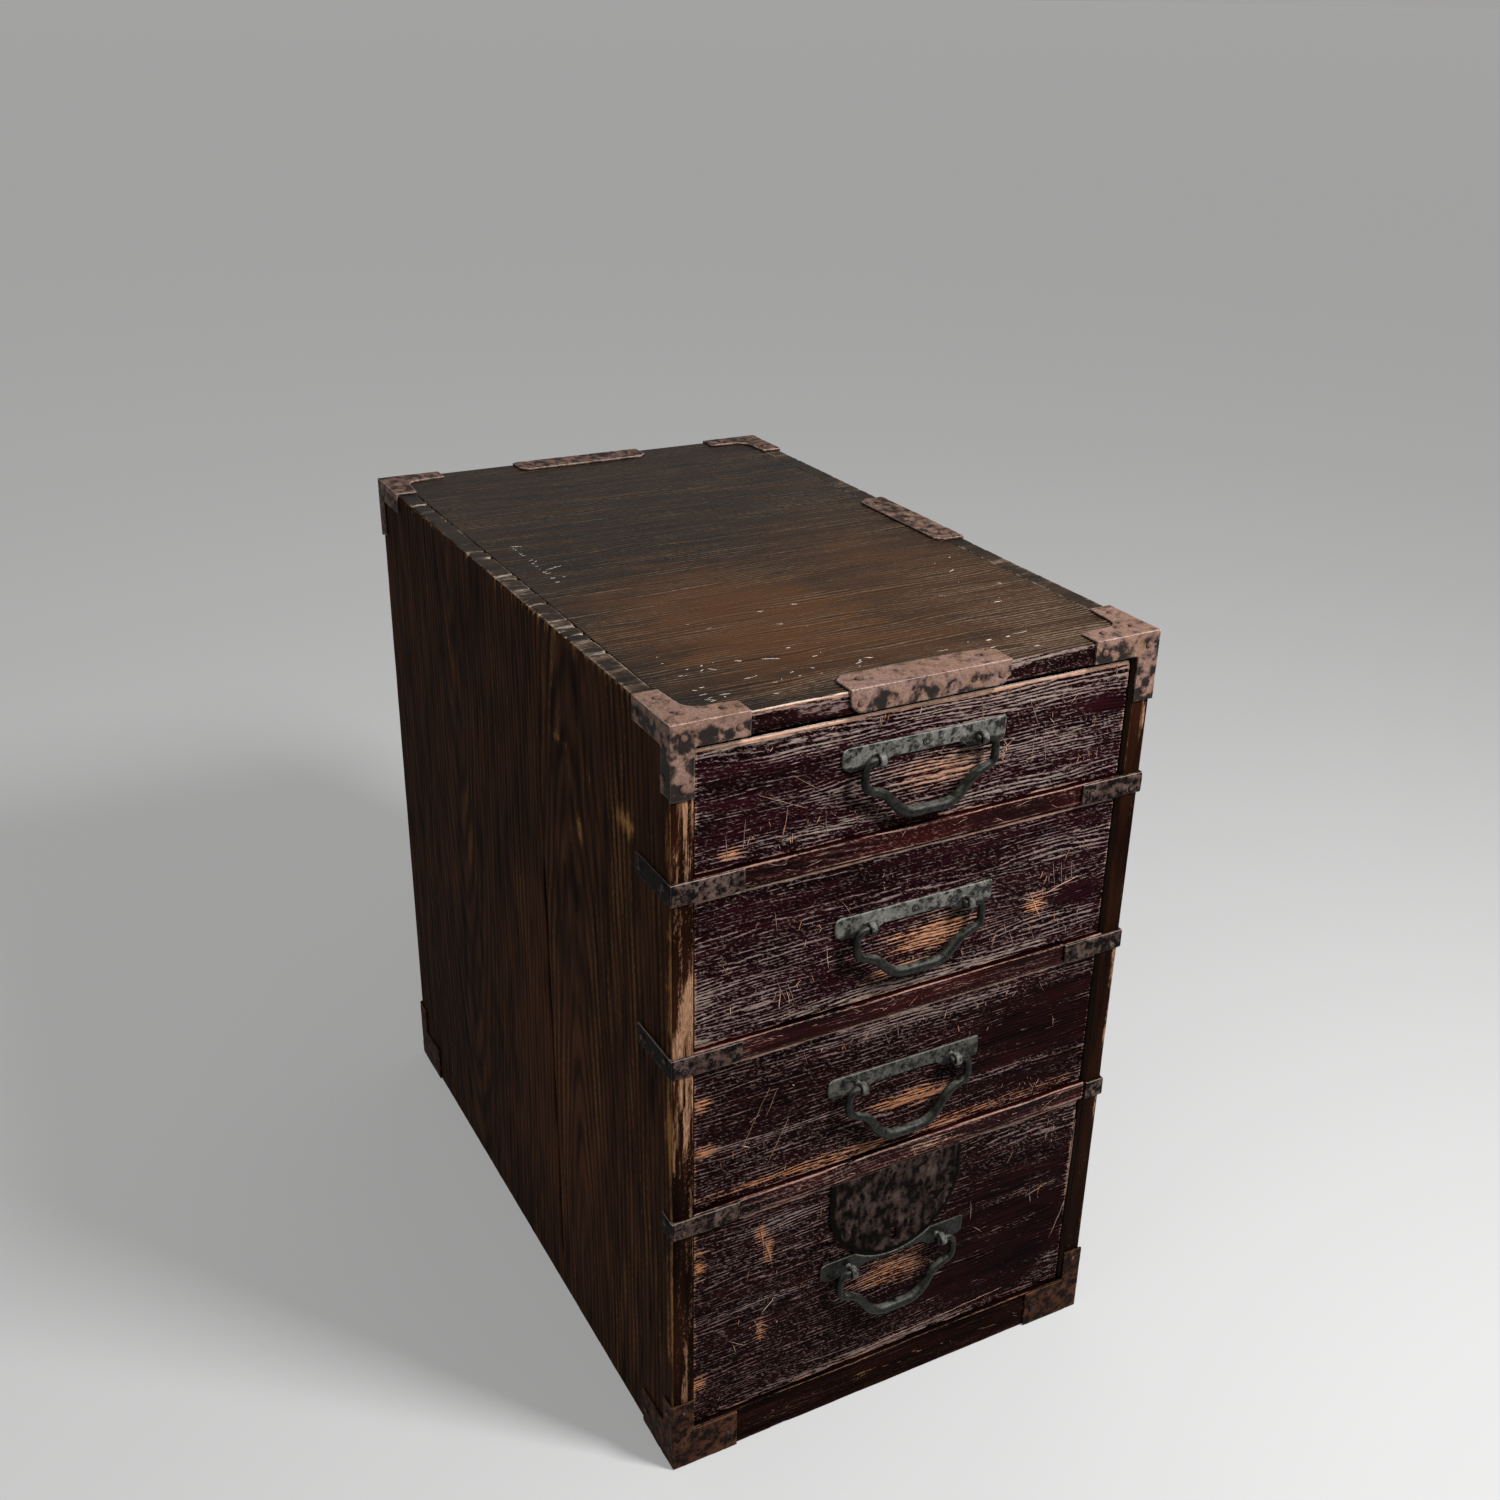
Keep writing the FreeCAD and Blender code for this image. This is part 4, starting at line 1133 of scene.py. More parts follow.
@dataclass
class Drawer:
    """A drawer: its worn front and its plain box; lengths in millimetres.

    Attributes:
        index: its number from the top.
        patches: wear on its front.
        base_wear: wear all over its front.
        top_line: how far the upper arris is rubbed.
        top_pale: how pale that arris is, as for a scratch.
        top_width: width of that arris.
        sag: how far its upper edge was planed down.
        lacquer: finish of its front.
        nick_places: where short nicks gather.
        scratches: the scratches that stand out.
        row_step: distance between two rows of points.
        column_step: distance between two columns of points.
        skin_gap: how far the wood lies behind the ends of the fibres.
        groove: depth of the hollows between growth lines.
        bevel: how round the arrises are.
    """

    index: int
    patches: list[Patch]
    base_wear: float = 0.12
    top_line: float = 0.4
    top_pale: float = 0.2
    top_width: float = 1.3
    sag: float = 0.3
    lacquer: LacqueredWood = FRONT_LACQUER
    nick_places: list[Knocks] = field(default_factory=list)
    scratches: list[Scratch] = field(default_factory=list)
    row_step: float = 0.5
    column_step: float = 2.8
    skin_gap: float = 0.12
    groove: float = 0.42
    bevel: float = 1.1

    @property
    def body(self) -> str:
        """Name the body that the drawer rides on."""
        return f"drawer_{self.index}"

    def build_front(self) -> None:
        """Make the front board with raised grain, worn arrises and rubbed lacquer."""
        node = f"{self.body}_front"
        board = Block(*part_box(node), (self.column_step, 6.0, self.row_step), plain=(Side.BACK,))
        rest, seed = board.rest, 100 * self.index
        ridge = ridges(rest, Axis.X, *GRAIN["front"], seed, keen=2.6, jitter=0.35)
        first, second = board.along(Axis.X), board.along(Axis.Z)
        zones = cloudy(rest, (75.0, 20.0, 8.0), seed + 11, layers=3)
        ragged = cloudy(rest, (26.0, 20.0, 4.0), seed + 12, layers=3)
        gap = board.arris()
        chips = smooth(0.25, 0.8, cloudy(rest, 9.0, seed + 13))
        edge = 0.4 * smooth(1.6, 0.3, gap + 1.4 * ragged)
        below_top = board.under(Side.TOP) - self.sag + 0.5 * ragged
        top_line = smooth(self.top_width, 0.4 * self.top_width, below_top)
        marks = worn_marks(self.patches, first, second, ragged, self.base_wear + 0.14 * zones)
        marks["wear"] = np.clip(marks["wear"] + 0.8 * edge + 2.0 * self.top_line * top_line, -0.5, 1.8)
        marks["bare"] = np.maximum(marks["bare"], np.maximum(edge, self.top_pale * top_line))
        edge = np.maximum(edge, top_line)
        # Painted shade in the gap round the drawer: the faces behind the front keep the dark film without
        # wear, and full shade in the hollows
        inside = smooth(0.5, 2.0, board.under(Side.FRONT))
        marks["wear"] -= 2.0 * inside
        marks["bare"] *= 1.0 - inside
        marks["ridge"] = np.where(board.on(Side.FRONT), np.maximum(ridge, 0.8 * edge), 0.8 * (1.0 - inside))
        deep = 0.55 + 0.45 * smooth(-0.4, 0.5, zones)
        sunk = (1.0 - ridge) * deep * self.groove * smooth(0.0, 1.5, gap)
        board.dent(Side.FRONT, (self.skin_gap + sunk) * MM)
        board.dent(Side.TOP, np.full(len(rest), self.sag * MM))
        board.soften((0.5 + 0.5 * self.bevel * (1 + ragged) + 1.6 * chips) * MM)
        skin = board.skin(marks, {Side.BACK: 1})
        nicks = scatter(self.nick_places, board.limits(Side.FRONT, self.sag), math.pi / 2, (0.14, 0.34),
                        (0.0, 1.7), seed)
        for place, scratch in enumerate(self.scratches + nicks):
            scratch.score(skin, Side.FRONT, board.corners[0][Axis.Y], seed + 40 + place)
        piece = skin.place(f"{node}_board", [self.lacquer.material(), INSIDE_CROSS.material()])
        settle(piece, self.body, "front_wood", node)

    def build_box(self) -> None:
        """Make the sides, back and bottom of bare wood with softened arrises."""
        for part, finish in (("left", INSIDE_WOOD), ("right", INSIDE_WOOD), ("back", INSIDE_CROSS),
                             ("bottom", INSIDE_WOOD)):
            node = f"{self.body}_{part}"
            board = Block(*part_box(node), (9.0, 12.0, 9.0))
            uneven = cloudy(board.rest, 15.0, 7 * self.index)
            board.soften((0.7 + 0.4 * uneven) * MM)
            piece = board.skin({}).place(f"{node}_board", [finish.material()])
            settle(piece, self.body, "inner_wood", node)


@dataclass
class Carcass:
    """The sides, top, back, rails and base of the chest; lengths in millimetres.

    Attributes:
        left_patches: wear on the left side, from the front and up.
        right_patches: wear on the right side.
        top_patches: wear on the top.
        rail_patches: wear on the rails, by their numbers.
        nick_places: where nicks gather on the top.
        rail_wear: wear all over each rail.
        stile_wear: wear of the front edges at the foot and at the top.
        right_stile_fade: how much less the right front edge is worn.
        hearts: where the growth lines of a side's front and rear board close in arches.
        arch_ends: heights from which these arches spread.
        arch_rise: how steep they are.
        splinter: where the splintered upper arris begins, is full, fades and ends.
        crack: the open joint in the left side: place at its foot and head, and their heights.
        crack_width: half its width.
        crack_depth: its depth.
        joint: gap between two boards of the back.
    """

    left_patches: list[Patch]
    right_patches: list[Patch]
    top_patches: list[Patch]
    rail_patches: dict[int, list[Patch]]
    nick_places: list[Knocks]
    rail_wear: dict[str, float] = field(default_factory=lambda: {
        "rail_1": 0.02, "rail_2": 0.0, "rail_3": 0.1, "bottom_rail": -0.05})
    stile_wear: Pair = (0.36, 0.33)
    right_stile_fade: float = 1.1
    hearts: Pair = (127.0, 318.0)
    arch_ends: Pair = (30.0, 500.0)
    arch_rise: float = 8.5
    splinter: tuple[float, float, float, float] = (60.0, 130.0, 400.0, 445.0)
    crack: tuple[float, float, float, float] = (166.5, 171.5, 27.0, 319.0)
    crack_width: float = 2.2
    crack_depth: float = 3.5
    joint: float = 0.4

    def slit(self, board: Block, seed: int) -> np.ndarray:
        """Say how open the joint in the left side is.

        Args:
            board: the left side.
            seed: which noise bends the joint.

        Returns:
            0 on sound wood to 1 in the joint, for each point.
        """
        foot, head, bottom, top = self.crack
        height = board.along(Axis.Z)
        share = np.clip((height - bottom) / (top - bottom), 0.0, 1.0)
        line = foot + (head - foot) * share + 0.5 * cloudy(board.rest, (9.0, 900.0, 40.0), seed)
        open_part = smooth(bottom - 1, bottom + 5, height) * smooth(top + 2, top - 50, height)
        return smooth(self.crack_width, 0.3, np.abs(board.along(Axis.Y) - line)) * open_part

    def build_side(self, name: str) -> None:
        """Make a side with upright grain, its worn front edge and the chipped edge under the top.

        Args:
            name: its node.
        """
        left = name == "left_side"
        extra = {}
        if left:
            foot, head = self.crack[:2]
            extra[Axis.Y] = (np.arange(foot - 2.4, head + 2.4, 0.4) - FROM_CORNER[Axis.Y]) * MM
        outer, inner = (Side.LEFT, Side.RIGHT) if left else (Side.RIGHT, Side.LEFT)
        board = Block(*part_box(name), (0.6, 1.0 if left else 1.5, 5.0), extra, plain=(inner,))
        rest, seed = board.rest, 700 if left else 800
        first, second = board.along(Axis.Y), board.along(Axis.Z)
        # Two boards side by side, each sawn so that its growth lines close in arches
        rear = first > (self.crack[0] + self.crack[1]) / 2
        heart = np.where(rear, self.hearts[1], self.hearts[0])
        slope = np.where(rear, self.arch_ends[1] - second, second - self.arch_ends[0]) / self.arch_rise
        ridge = ridges(rest, Axis.Z, *GRAIN["side"], seed, np.hypot(first - heart, slope), sway=3.0)
        zones = cloudy(rest, (20.0, 16.0, 90.0), seed + 11, layers=3)
        ragged = cloudy(rest, (20.0, 5.0, 18.0), seed + 12, layers=3)
        gap = board.arris()
        patches = self.left_patches if left else self.right_patches
        marks = worn_marks(patches, first, second, ragged, 0.12 + 0.45 * zones - 0.12 * rear)
        # The front edge is worn in long streaks, the right one mostly along its rim
        low_wear, high_wear = self.stile_wear
        rise = low_wear + (high_wear - low_wear) * smooth(40.0, 230.0, second)
        streaky = cloudy(rest, (1.4, 3.0, 26.0), seed + 17, layers=3)
        rim = smooth(4.5, 1.5, board.under(outer))
        stile_wear = rise + 1.3 * streaky - 0.45 * rim
        if not left:
            stile_wear = rise + 1.5 * streaky + 0.7 * rim - self.right_stile_fade
        knocked = smooth(-0.35, 0.25, cloudy(rest, (30.0, 30.0, 16.0), seed + 19, layers=3))
        front_edge = smooth(9.0, 0.5, first + 6.0 * ragged) * knocked
        edge = np.maximum(0.4 * smooth(2.4, 0.3, gap + ragged), front_edge)
        stile = board.on(Side.FRONT)
        stile_bare = smooth(0.1, 0.7, stile_wear + 0.2 * ragged)
        marks["wear"] = np.where(stile, stile_wear, marks["wear"] + 0.6 * edge)
        marks["bare"] = np.where(stile, stile_bare, np.maximum(marks["bare"], 0.8 * edge))
        board.dent(outer, (1.0 - ridge) * 0.22 * MM * smooth(0.0, 2.0, gap))
        board.dent(Side.FRONT, (1.0 - ridge) * 0.3 * MM)
        # The upper arris is splintered where a plate was lost
        begin, full, fade, end = self.splinter
        splinter = smooth(begin, full, first) * smooth(end, fade, first) * (1.0 if left else 0.35)
        teeth = smooth(-0.1, 0.7, cloudy(rest, (30.0, 4.0, 30.0), seed + 21, layers=3))
        chip = splinter * teeth * smooth(460.0, 463.5, second)
        marks["wear"] = marks["wear"] + 0.5 * chip
        marks["bare"] = np.maximum(marks["bare"], 0.9 * chip)
        slit = self.slit(board, seed + 23) if left else np.zeros(len(rest))
        board.dent(outer, slit * self.crack_depth * MM)
        # The open joint keeps the darkest film, and its hollow gets full painted shade
        marks["wear"] -= 2.0 * slit
        marks["tint"] -= 2.0 * slit
        marks["ridge"] = np.where(board.on(Side.TOP), 0.5 + 0.4 * ragged, ridge * (1.0 - slit))
        board.soften((0.6 + 0.35 * (1 + ragged) + 4.2 * chip) * MM)
        # The inner face takes the painted shade of the gaps beside the drawers
        finishes = (SIDE_LACQUER, STILE_WOOD, GAP_SHADE_WOOD, TOP_LACQUER)
        piece = board.skin(marks, {Side.FRONT: 1, inner: 2, Side.TOP: 3}).place(
            f"{name}_board", [finish.material() for finish in finishes])
        settle(piece, "carcass", "side_wood", name)

    def build_top(self) -> None:
        """Make the top with grain across it, nicks and a rubbed front arris."""
        board = Block(*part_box("top_board"), (5.0, 0.8, 3.0), plain=(Side.UNDER,))
        rest, seed = board.rest, 900
        first, second = board.along(Axis.X), board.along(Axis.Y)
        ridge = ridges(rest, Axis.X, *GRAIN["top"], seed)
        zones = cloudy(rest, (60.0, 14.0, 14.0), seed + 11, layers=3)
        ragged = cloudy(rest, (20.0, 6.0, 6.0), seed + 12, layers=3)
        gap = board.arris()
        edge = smooth(1.3, 0.2, gap + 0.7 * ragged) * smooth(6.0, 2.0, second) * smooth(200.0, 90.0, first)
        marks = worn_marks(self.top_patches, first, second, ragged, 0.2 + 0.15 * zones)
        face = board.on(Side.FRONT)
        upper = smooth(456.0, 462.0, board.along(Axis.Z) + 2.0 * ragged)
        marks["wear"] = np.where(face, 0.05 + 0.55 * upper + 0.3 * zones, marks["wear"]) + 0.8 * edge
        marks["bare"] = np.maximum(marks["bare"] * ~face, 1.3 * edge)
        marks["ridge"] = ridge
        board.dent(Side.TOP, (1.0 - ridge) * 0.12 * MM)
        board.soften((0.35 + 0.9 * edge) * MM)
        skin = board.skin(marks, {Side.FRONT: 1})
        nicks = scatter(self.nick_places, board.limits(Side.TOP), 0.0, (0.25, 0.75), (0.9, 1.9), 5)
        for place, nick in enumerate(nicks):
            nick.score(skin, Side.TOP, board.corners[1][Axis.Z], seed + 40 + place)
        piece = skin.place("top_board_worn", [TOP_LACQUER.material(), LOWER_LACQUER.material()])
        settle(piece, "carcass", "top_wood", "top_board")

    def bolt_mortise(self) -> dict[Axis, np.ndarray]:
        """Give the places of the walls of the mortise that the bolt of the lock goes up into.

        Returns:
            The foot and the head of each wall along two axes.
        """
        low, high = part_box("lock_bolt")
        rims = np.array([2.0, 1.0]) * BOLT_FIT * MM
        return {axis: np.concatenate([low[axis] - rims, high[axis] + rims[::-1]])
                for axis in (Axis.X, Axis.Y)}

    def build_rails(self) -> None:
        """Make the rails between the drawers and the one at the base."""
        for number, (node, base) in enumerate(self.rail_wear.items(), 1):
            mortise = self.bolt_mortise() if number == BOLT_RAIL else {}
            board = Block(*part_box(node), (2.6, 4.0, 0.9), mortise, plain=(Side.BACK,))
            rest, seed = board.rest, 1000 + 50 * number
            first, second = board.along(Axis.X), board.along(Axis.Z)
            ridge = ridges(rest, Axis.X, *GRAIN["rail"], seed)
            zones = cloudy(rest, (60.0, 14.0, 6.0), seed + 11, layers=3)
            ragged = cloudy(rest, (14.0, 14.0, 3.0), seed + 12, layers=3)
            gap = board.arris()
            edge = smooth(1.6, 0.2, gap + 0.8 * ragged)
            marks = worn_marks(self.rail_patches.get(number, []), first, second, ragged, base + 0.42 * zones)
            marks["wear"] = marks["wear"] + 0.6 * edge
            marks["tint"] = 0.5 * zones
            marks["bare"] = np.maximum(marks["bare"], 0.3 * edge)
            # Painted shade in the gaps behind the rail's front: dark film without wear, and full shade in the
            # hollows
            inside = smooth(0.8, 2.5, board.under(Side.FRONT))
            marks["wear"] -= 2.0 * inside
            marks["bare"] *= 1.0 - inside
            marks["ridge"] = ridge * (1.0 - inside)
            chips = smooth(0.3, 0.8, cloudy(rest, 11.0, seed + 13))
            board.dent(Side.FRONT, (1.0 - ridge) * 0.18 * MM)
            if mortise:
                hollow = np.all([(rest[:, axis] > at[0] + NEAR * MM) & (rest[:, axis] < at[-1] - NEAR * MM)
                                 for axis, at in mortise.items()], axis=0)
                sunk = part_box("lock_bolt")[1].z + (BOLT_THROW + BOLT_FIT) * MM - board.corners[0][Axis.Z]
                board.dent(Side.UNDER, hollow * sunk)
            board.soften((0.7 + 0.5 * (1 + ragged) + 1.5 * chips) * MM)
            skin = board.skin(marks, {Side.BACK: 1})
            middle = (board.corners[0][Axis.Z] + board.corners[1][Axis.Z]) / 2 / MM
            knocks = [Knocks(CHEST_WIDTH / 2, middle, (110.0, 5.0), 26)]
            nicks = scatter(knocks, board.limits(Side.FRONT), 0.0, (0.12, 0.26), (0.0, 0.9), seed)
            for place, nick in enumerate(nicks):
                nick.score(skin, Side.FRONT, board.corners[0][Axis.Y], seed + 20 + place)
            lacquer = BASE_LACQUER if node == "bottom_rail" else RAIL_LACQUER
            piece = skin.place(f"{node}_worn", [lacquer.material(), INSIDE_CROSS.material()])
            settle(piece, "carcass", "rail_wood", node)

    def build_back(self) -> None:
        """Make the three boards of the back, with open joints and sunk grain."""
        low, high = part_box("back_boards")
        count = 3
        tall = (high.z - low.z) / count
        skins = []
        for place in range(count):
            bottom = low.z + place * tall + (self.joint * MM if place else 0.0)
            top = low.z + (place + 1) * tall
            board = Block(Vector((low.x, low.y, bottom)), Vector((high.x, high.y, top)), (7.0, 4.0, 2.0),
                          plain=(Side.FRONT,))
            grain = ridges(board.rest, Axis.X, *GRAIN["back"], 1300 + place)
            board.dent(Side.BACK, (1.0 - grain) * 0.25 * MM)
            board.soften((0.8 + 0.3 * cloudy(board.rest, 20.0, 1310 + place)) * MM)
            skins.append(board.skin({}))
        piece = skins[0].join(*skins[1:]).place("back_boards_aged", [BACK_WOOD.material()])
        settle(piece, "carcass", "back_wood", "back_boards")

    def dress_hidden(self) -> None:
        """Give the boards that only show behind an open drawer their bare wood."""
        finishes = {"bottom_board": INSIDE_WOOD, "bottom_runners": INSIDE_WOOD}
        finishes |= {f"dust_board_{place}": INSIDE_CROSS for place in (1, 2, 3)}
        for node, finish in finishes.items():
            dress_node(node, finish)

    def build(self) -> None:
        """Make every board of the carcass."""
        for name in ("left_side", "right_side"):
            self.build_side(name)
        self.build_top()
        self.build_rails()
        self.build_back()
        self.dress_hidden()


def dress_node(node: str, finish: Finish) -> None:
    """Give a node of the frame whose shape is right its finish.

    Args:
        node: its name.
        finish: the finish.
    """
    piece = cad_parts[node]
    piece.data.materials.clear()
    piece.data.materials.append(finish.material())
    LOG.info("%s keeps its shape", node)


@dataclass
class Irons:
    """The irons nailed round the carcass; lengths in millimetres.

    Attributes:
        sheet: thickness of the iron.
        arm: reach of a top corner iron along each edge.
        cover: width of its arms on the top.
        web: radius of the hollow between these arms.
        band: width of the parts on the face and the side.
        foot_band: height of a foot iron's arms.
        plate: half length of an edge plate, its width on the top and its cut corners.
        strap: length of a strap on the front and on the side.
        stump: length of a broken arm.
        far_shade: painted shade all over the irons at the back and the right edge plate, which lie further
            from the lamp.
        dark_below: height under which nails are dark.
        side_darkening: how much darker the straps' arms on the sides are.
        hammer: how the irons were worked.
    """

    sheet: float = 1.5
    arm: float = 41.0
    cover: float = 14.0
    web: float = 9.0
    band: float = 12.0
    foot_band: float = 26.0
    plate: Triple = (47.5, 19.5, 5.0)
    strap: Pair = (39.5, 39.0)
    stump: float = 11.5
    far_shade: float = 0.6
    dark_below: float = 400.0
    side_darkening: float = 0.6
    hammer: Hammer = field(default_factory=Hammer)

    def corner(self, side: int, face: int, node: str) -> None:
        """Make an iron that caps a corner of the top.

        Args:
            side: -1 for the left, 1 for the right.
            face: -1 for the front, 1 for the back.
            node: its node.
        """
        low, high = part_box(node)
        x_out, y_out = high.x if side > 0 else low.x, high.y if face > 0 else low.y
        top, under = high.z, high.z - self.sheet * MM

        def at(x: float, y: float) -> Pair:
            """Place a point by its distances in millimetres from the iron's outer corner."""
            return x_out - side * x * MM, y_out - face * y * MM

        reach, inner = self.arm + self.sheet, self.cover + self.sheet
        turn = [(inner + self.web * (1 - math.sin(a)), inner + self.web * (1 - math.cos(a)))
                for a in np.linspace(0.0, math.pi / 2, 7)]
        tip = inner - 1.5
        hollow = [at(x, y) for x, y in turn]
        outline = [at(0, 0), at(reach, 0), at(reach, tip), *hollow, at(tip, reach), at(0, reach)]
        width = self.band + self.sheet
        skirt = high.z - width * MM
        parts = [
            prism(outline, Axis.Z, under, top),
            self.between(at(0, 0), at(reach, self.sheet), skirt, top),
            self.between(at(0, 0), at(self.sheet, reach), skirt, top),
            self.between(at(0, 0), at(width, self.sheet), low.z, top),
            self.between(at(0, 0), at(self.sheet, width - 3), low.z + 1.5 * MM, top),
        ]
        seed = 40 + 3 * side + face
        skin = self.hammer.shape(parts, seed, low, high)
        self.soil(skin, top, seed + 20, self.far_shade if face > 0 else 0.0)
        settle(skin.place(f"{node}_sheet", [CORNER_IRON.material()]), "carcass", "corner_iron", node)

    def soil(self, skin: Skin, top: float, seed: int, even: float) -> None:
        """Let dark grime gather on an iron of the top, more the lower it is, and add painted shade to irons
        far from the lamp.

        Args:
            skin: the iron.
            top: its upper end, in metres.
            seed: which iron.
            even: painted shade all over it.
        """
        below = smooth(1.5, 7.0, (top - skin.points[:, Axis.Z]) / MM)
        grime = below * smooth(-0.4, 0.25, cloudy(skin.points, 6.0, seed, layers=4))
        # The even share is painted shade, the rest pits and grime
        skin.marks["pit"] = np.maximum(0.4 * skin.marks["pit"] + even, 1.4 * grime)

    def between(self, one: Pair, two: Pair, bottom: float, top: float) -> Skin:
        """Make an upright slab between two corners seen from above."""
        (x0, y0), (x1, y1) = one, two
        return slab((min(x0, x1), min(y0, y1), bottom), (max(x0, x1), max(y0, y1), top))

    def foot(self, side: int, face: int, node: str) -> None:
        """Make an iron that binds a corner of the base.

        Args:
            side: -1 for the left, 1 for the right.
            face: -1 for the front, 1 for the back.
            node: its node.
        """
        low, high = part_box(node)
        x_out, y_out = high.x if side > 0 else low.x, high.y if face > 0 else low.y
        thick = self.sheet * MM
        shoulder = low.z + (self.foot_band - 0.5) * MM
        x_in, y_in = x_out - side * (high.x - low.x), y_out - face * (high.y - low.y)
        x_band = x_out - side * (self.band + self.sheet) * MM
        y_band = y_out - face * (self.band + self.sheet) * MM
        parts = [
            self.between((x_out, y_out), (x_in, y_out - face * thick), low.z, shoulder),
            self.between((x_out, y_out), (x_out - side * thick, y_in), low.z, shoulder),
            self.between((x_out, y_out), (x_band, y_out - face * thick), low.z, high.z),
            self.between((x_out, y_out), (x_out - side * thick, y_band), low.z, high.z - 2 * MM),
        ]
        skin = self.hammer.shape(parts, 60 + 3 * side + face, low, high)
        settle(skin.place(f"{node}_sheet", [FOOT_IRON.material()]), "carcass", "corner_iron", node)

    def plates(self) -> None:
        """Make the plates folded over the front, right and back edges of the top."""
        low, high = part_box("edge_plates")
        half, cover, cut = (length * MM for length in self.plate)
        thick, bottom, top = self.sheet * MM, low.z, high.z
        lip = [(-half, top), (-half, bottom + cut), (-half + cut, bottom), (half - cut, bottom),
               (half, bottom + cut), (half, top)]
        wholes = []
        for axis, out, way in ((Axis.Y, low.y, 1), (Axis.Y, high.y, -1), (Axis.X, high.x, -1)):
            inner = out + way * cover
            outline = [(-half, out), (half, out), (half, inner - way * cut), (half - cut, inner),
                       (-half + cut, inner), (-half, inner - way * cut)]
            if axis == Axis.X:
                outline = [point[::-1] for point in outline]
            elif way < 0:
                outline.reverse()
            fold = prism(lip, axis, *sorted((out, out + way * thick)))
            wholes.append([prism(outline, Axis.Z, top - thick, top), fold])
        self.gather("edge_plates", wholes, 80, CORNER_IRON, "corner_iron")

    def gather(self, node: str, wholes: list[list[Skin]], seed: int, finish: Finish, slot: str) -> None:
        """Hammer several separate irons and hold them in the piece that stands for one node.

        Args:
            node: the node.
            wholes: the parts of each iron.
            seed: which irons.
            finish: their finish.
            slot: name of their material slot.
        """
        low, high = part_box(node)
        made = [self.hammer.shape(parts, seed + 5 * place, low, high) for place, parts in enumerate(wholes)]
        if finish is CORNER_IRON:
            for place, skin in enumerate(made):
                self.soil(skin, high.z, seed + 20 + place, self.far_shade if place else 0.0)
        else:
            for skin in made:
                # The straps' arms on the sides are darker all over
                outside = np.abs(skin.points[:, Axis.X]) > CHEST_WIDTH / 2 * MM
                skin.marks["pit"] = skin.marks["pit"] + self.side_darkening * outside
        piece = made[0].join(*made[1:]).place(f"{node}_sheet", [finish.material()])
        settle(piece, "carcass", slot, node)

    def straps(self, side: int, node: str) -> None:
        """Make the three straps of one side; the lowest has a broken arm.

        Args:
            side: -1 for the left, 1 for the right.
            node: their node.
        """
        low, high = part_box(node)
        x_out = high.x if side > 0 else low.x
        y_out = low.y
        thick = self.sheet * MM
        wholes = []
        for rail in (1, 2, 3):
            bottom, top = (corner.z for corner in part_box(f"rail_{rail}"))
            across, back = self.strap
            if rail == 3:
                across, back = (self.stump, back) if side > 0 else (across, self.stump)
            across, back = across + self.sheet, back + self.sheet
            wholes.append([
                self.between((x_out, y_out), (x_out - side * across * MM, y_out + thick), bottom, top),
                self.between((x_out, y_out), (x_out - side * thick, y_out + back * MM), bottom, top),
            ])
        self.gather(node, wholes, 90 + side, STRAP_IRON, "strap_iron")

    def nails(self) -> None:
        """Put a forged head on every nail of the frame."""
        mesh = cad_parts["iron_nails"].data
        points = np.array([vertex.co for vertex in mesh.vertices], float)
        # Points that an edge or the same place joins belong to the nail of the lowest number among them
        _, first, same = np.unique(points.round(6), axis=0, return_index=True, return_inverse=True)
        twins = np.stack([np.arange(len(points)), first[same.ravel()]], -1)
        one, two = np.vstack([twins, [edge.vertices[:] for edge in mesh.edges]]).T
        group, before = np.arange(len(points)), None
        while not np.array_equal(group, before):
            before = group.copy()
            np.minimum.at(group, one, before[two])
            np.minimum.at(group, two, before[one])
        nails = [forged_head(points[group == number], place) for place, number in enumerate(np.unique(group))]
        LOG.info("%d nails", len(nails))
        whole = nails[0].join(*nails[1:])
        # The nails of the straps and feet are as dark as their irons
        whole.marks["pit"] += 0.9 * (whole.points[:, Axis.Z] < self.dark_below * MM)
        piece = whole.place("iron_nails_forged", [NAIL_IRON.material()])
        settle(piece, "carcass", "strap_iron", "iron_nails")

    def build(self) -> None:
        """Make every iron of the carcass."""
        for face, face_name in ((-1, "front"), (1, "back")):
            for side, side_name in ((-1, "left"), (1, "right")):
                self.corner(side, face, f"top_iron_{face_name}_{side_name}")
                self.foot(side, face, f"foot_iron_{face_name}_{side_name}")
        self.plates()
        self.straps(-1, "left_straps")
        self.straps(1, "right_straps")
        self.nails()


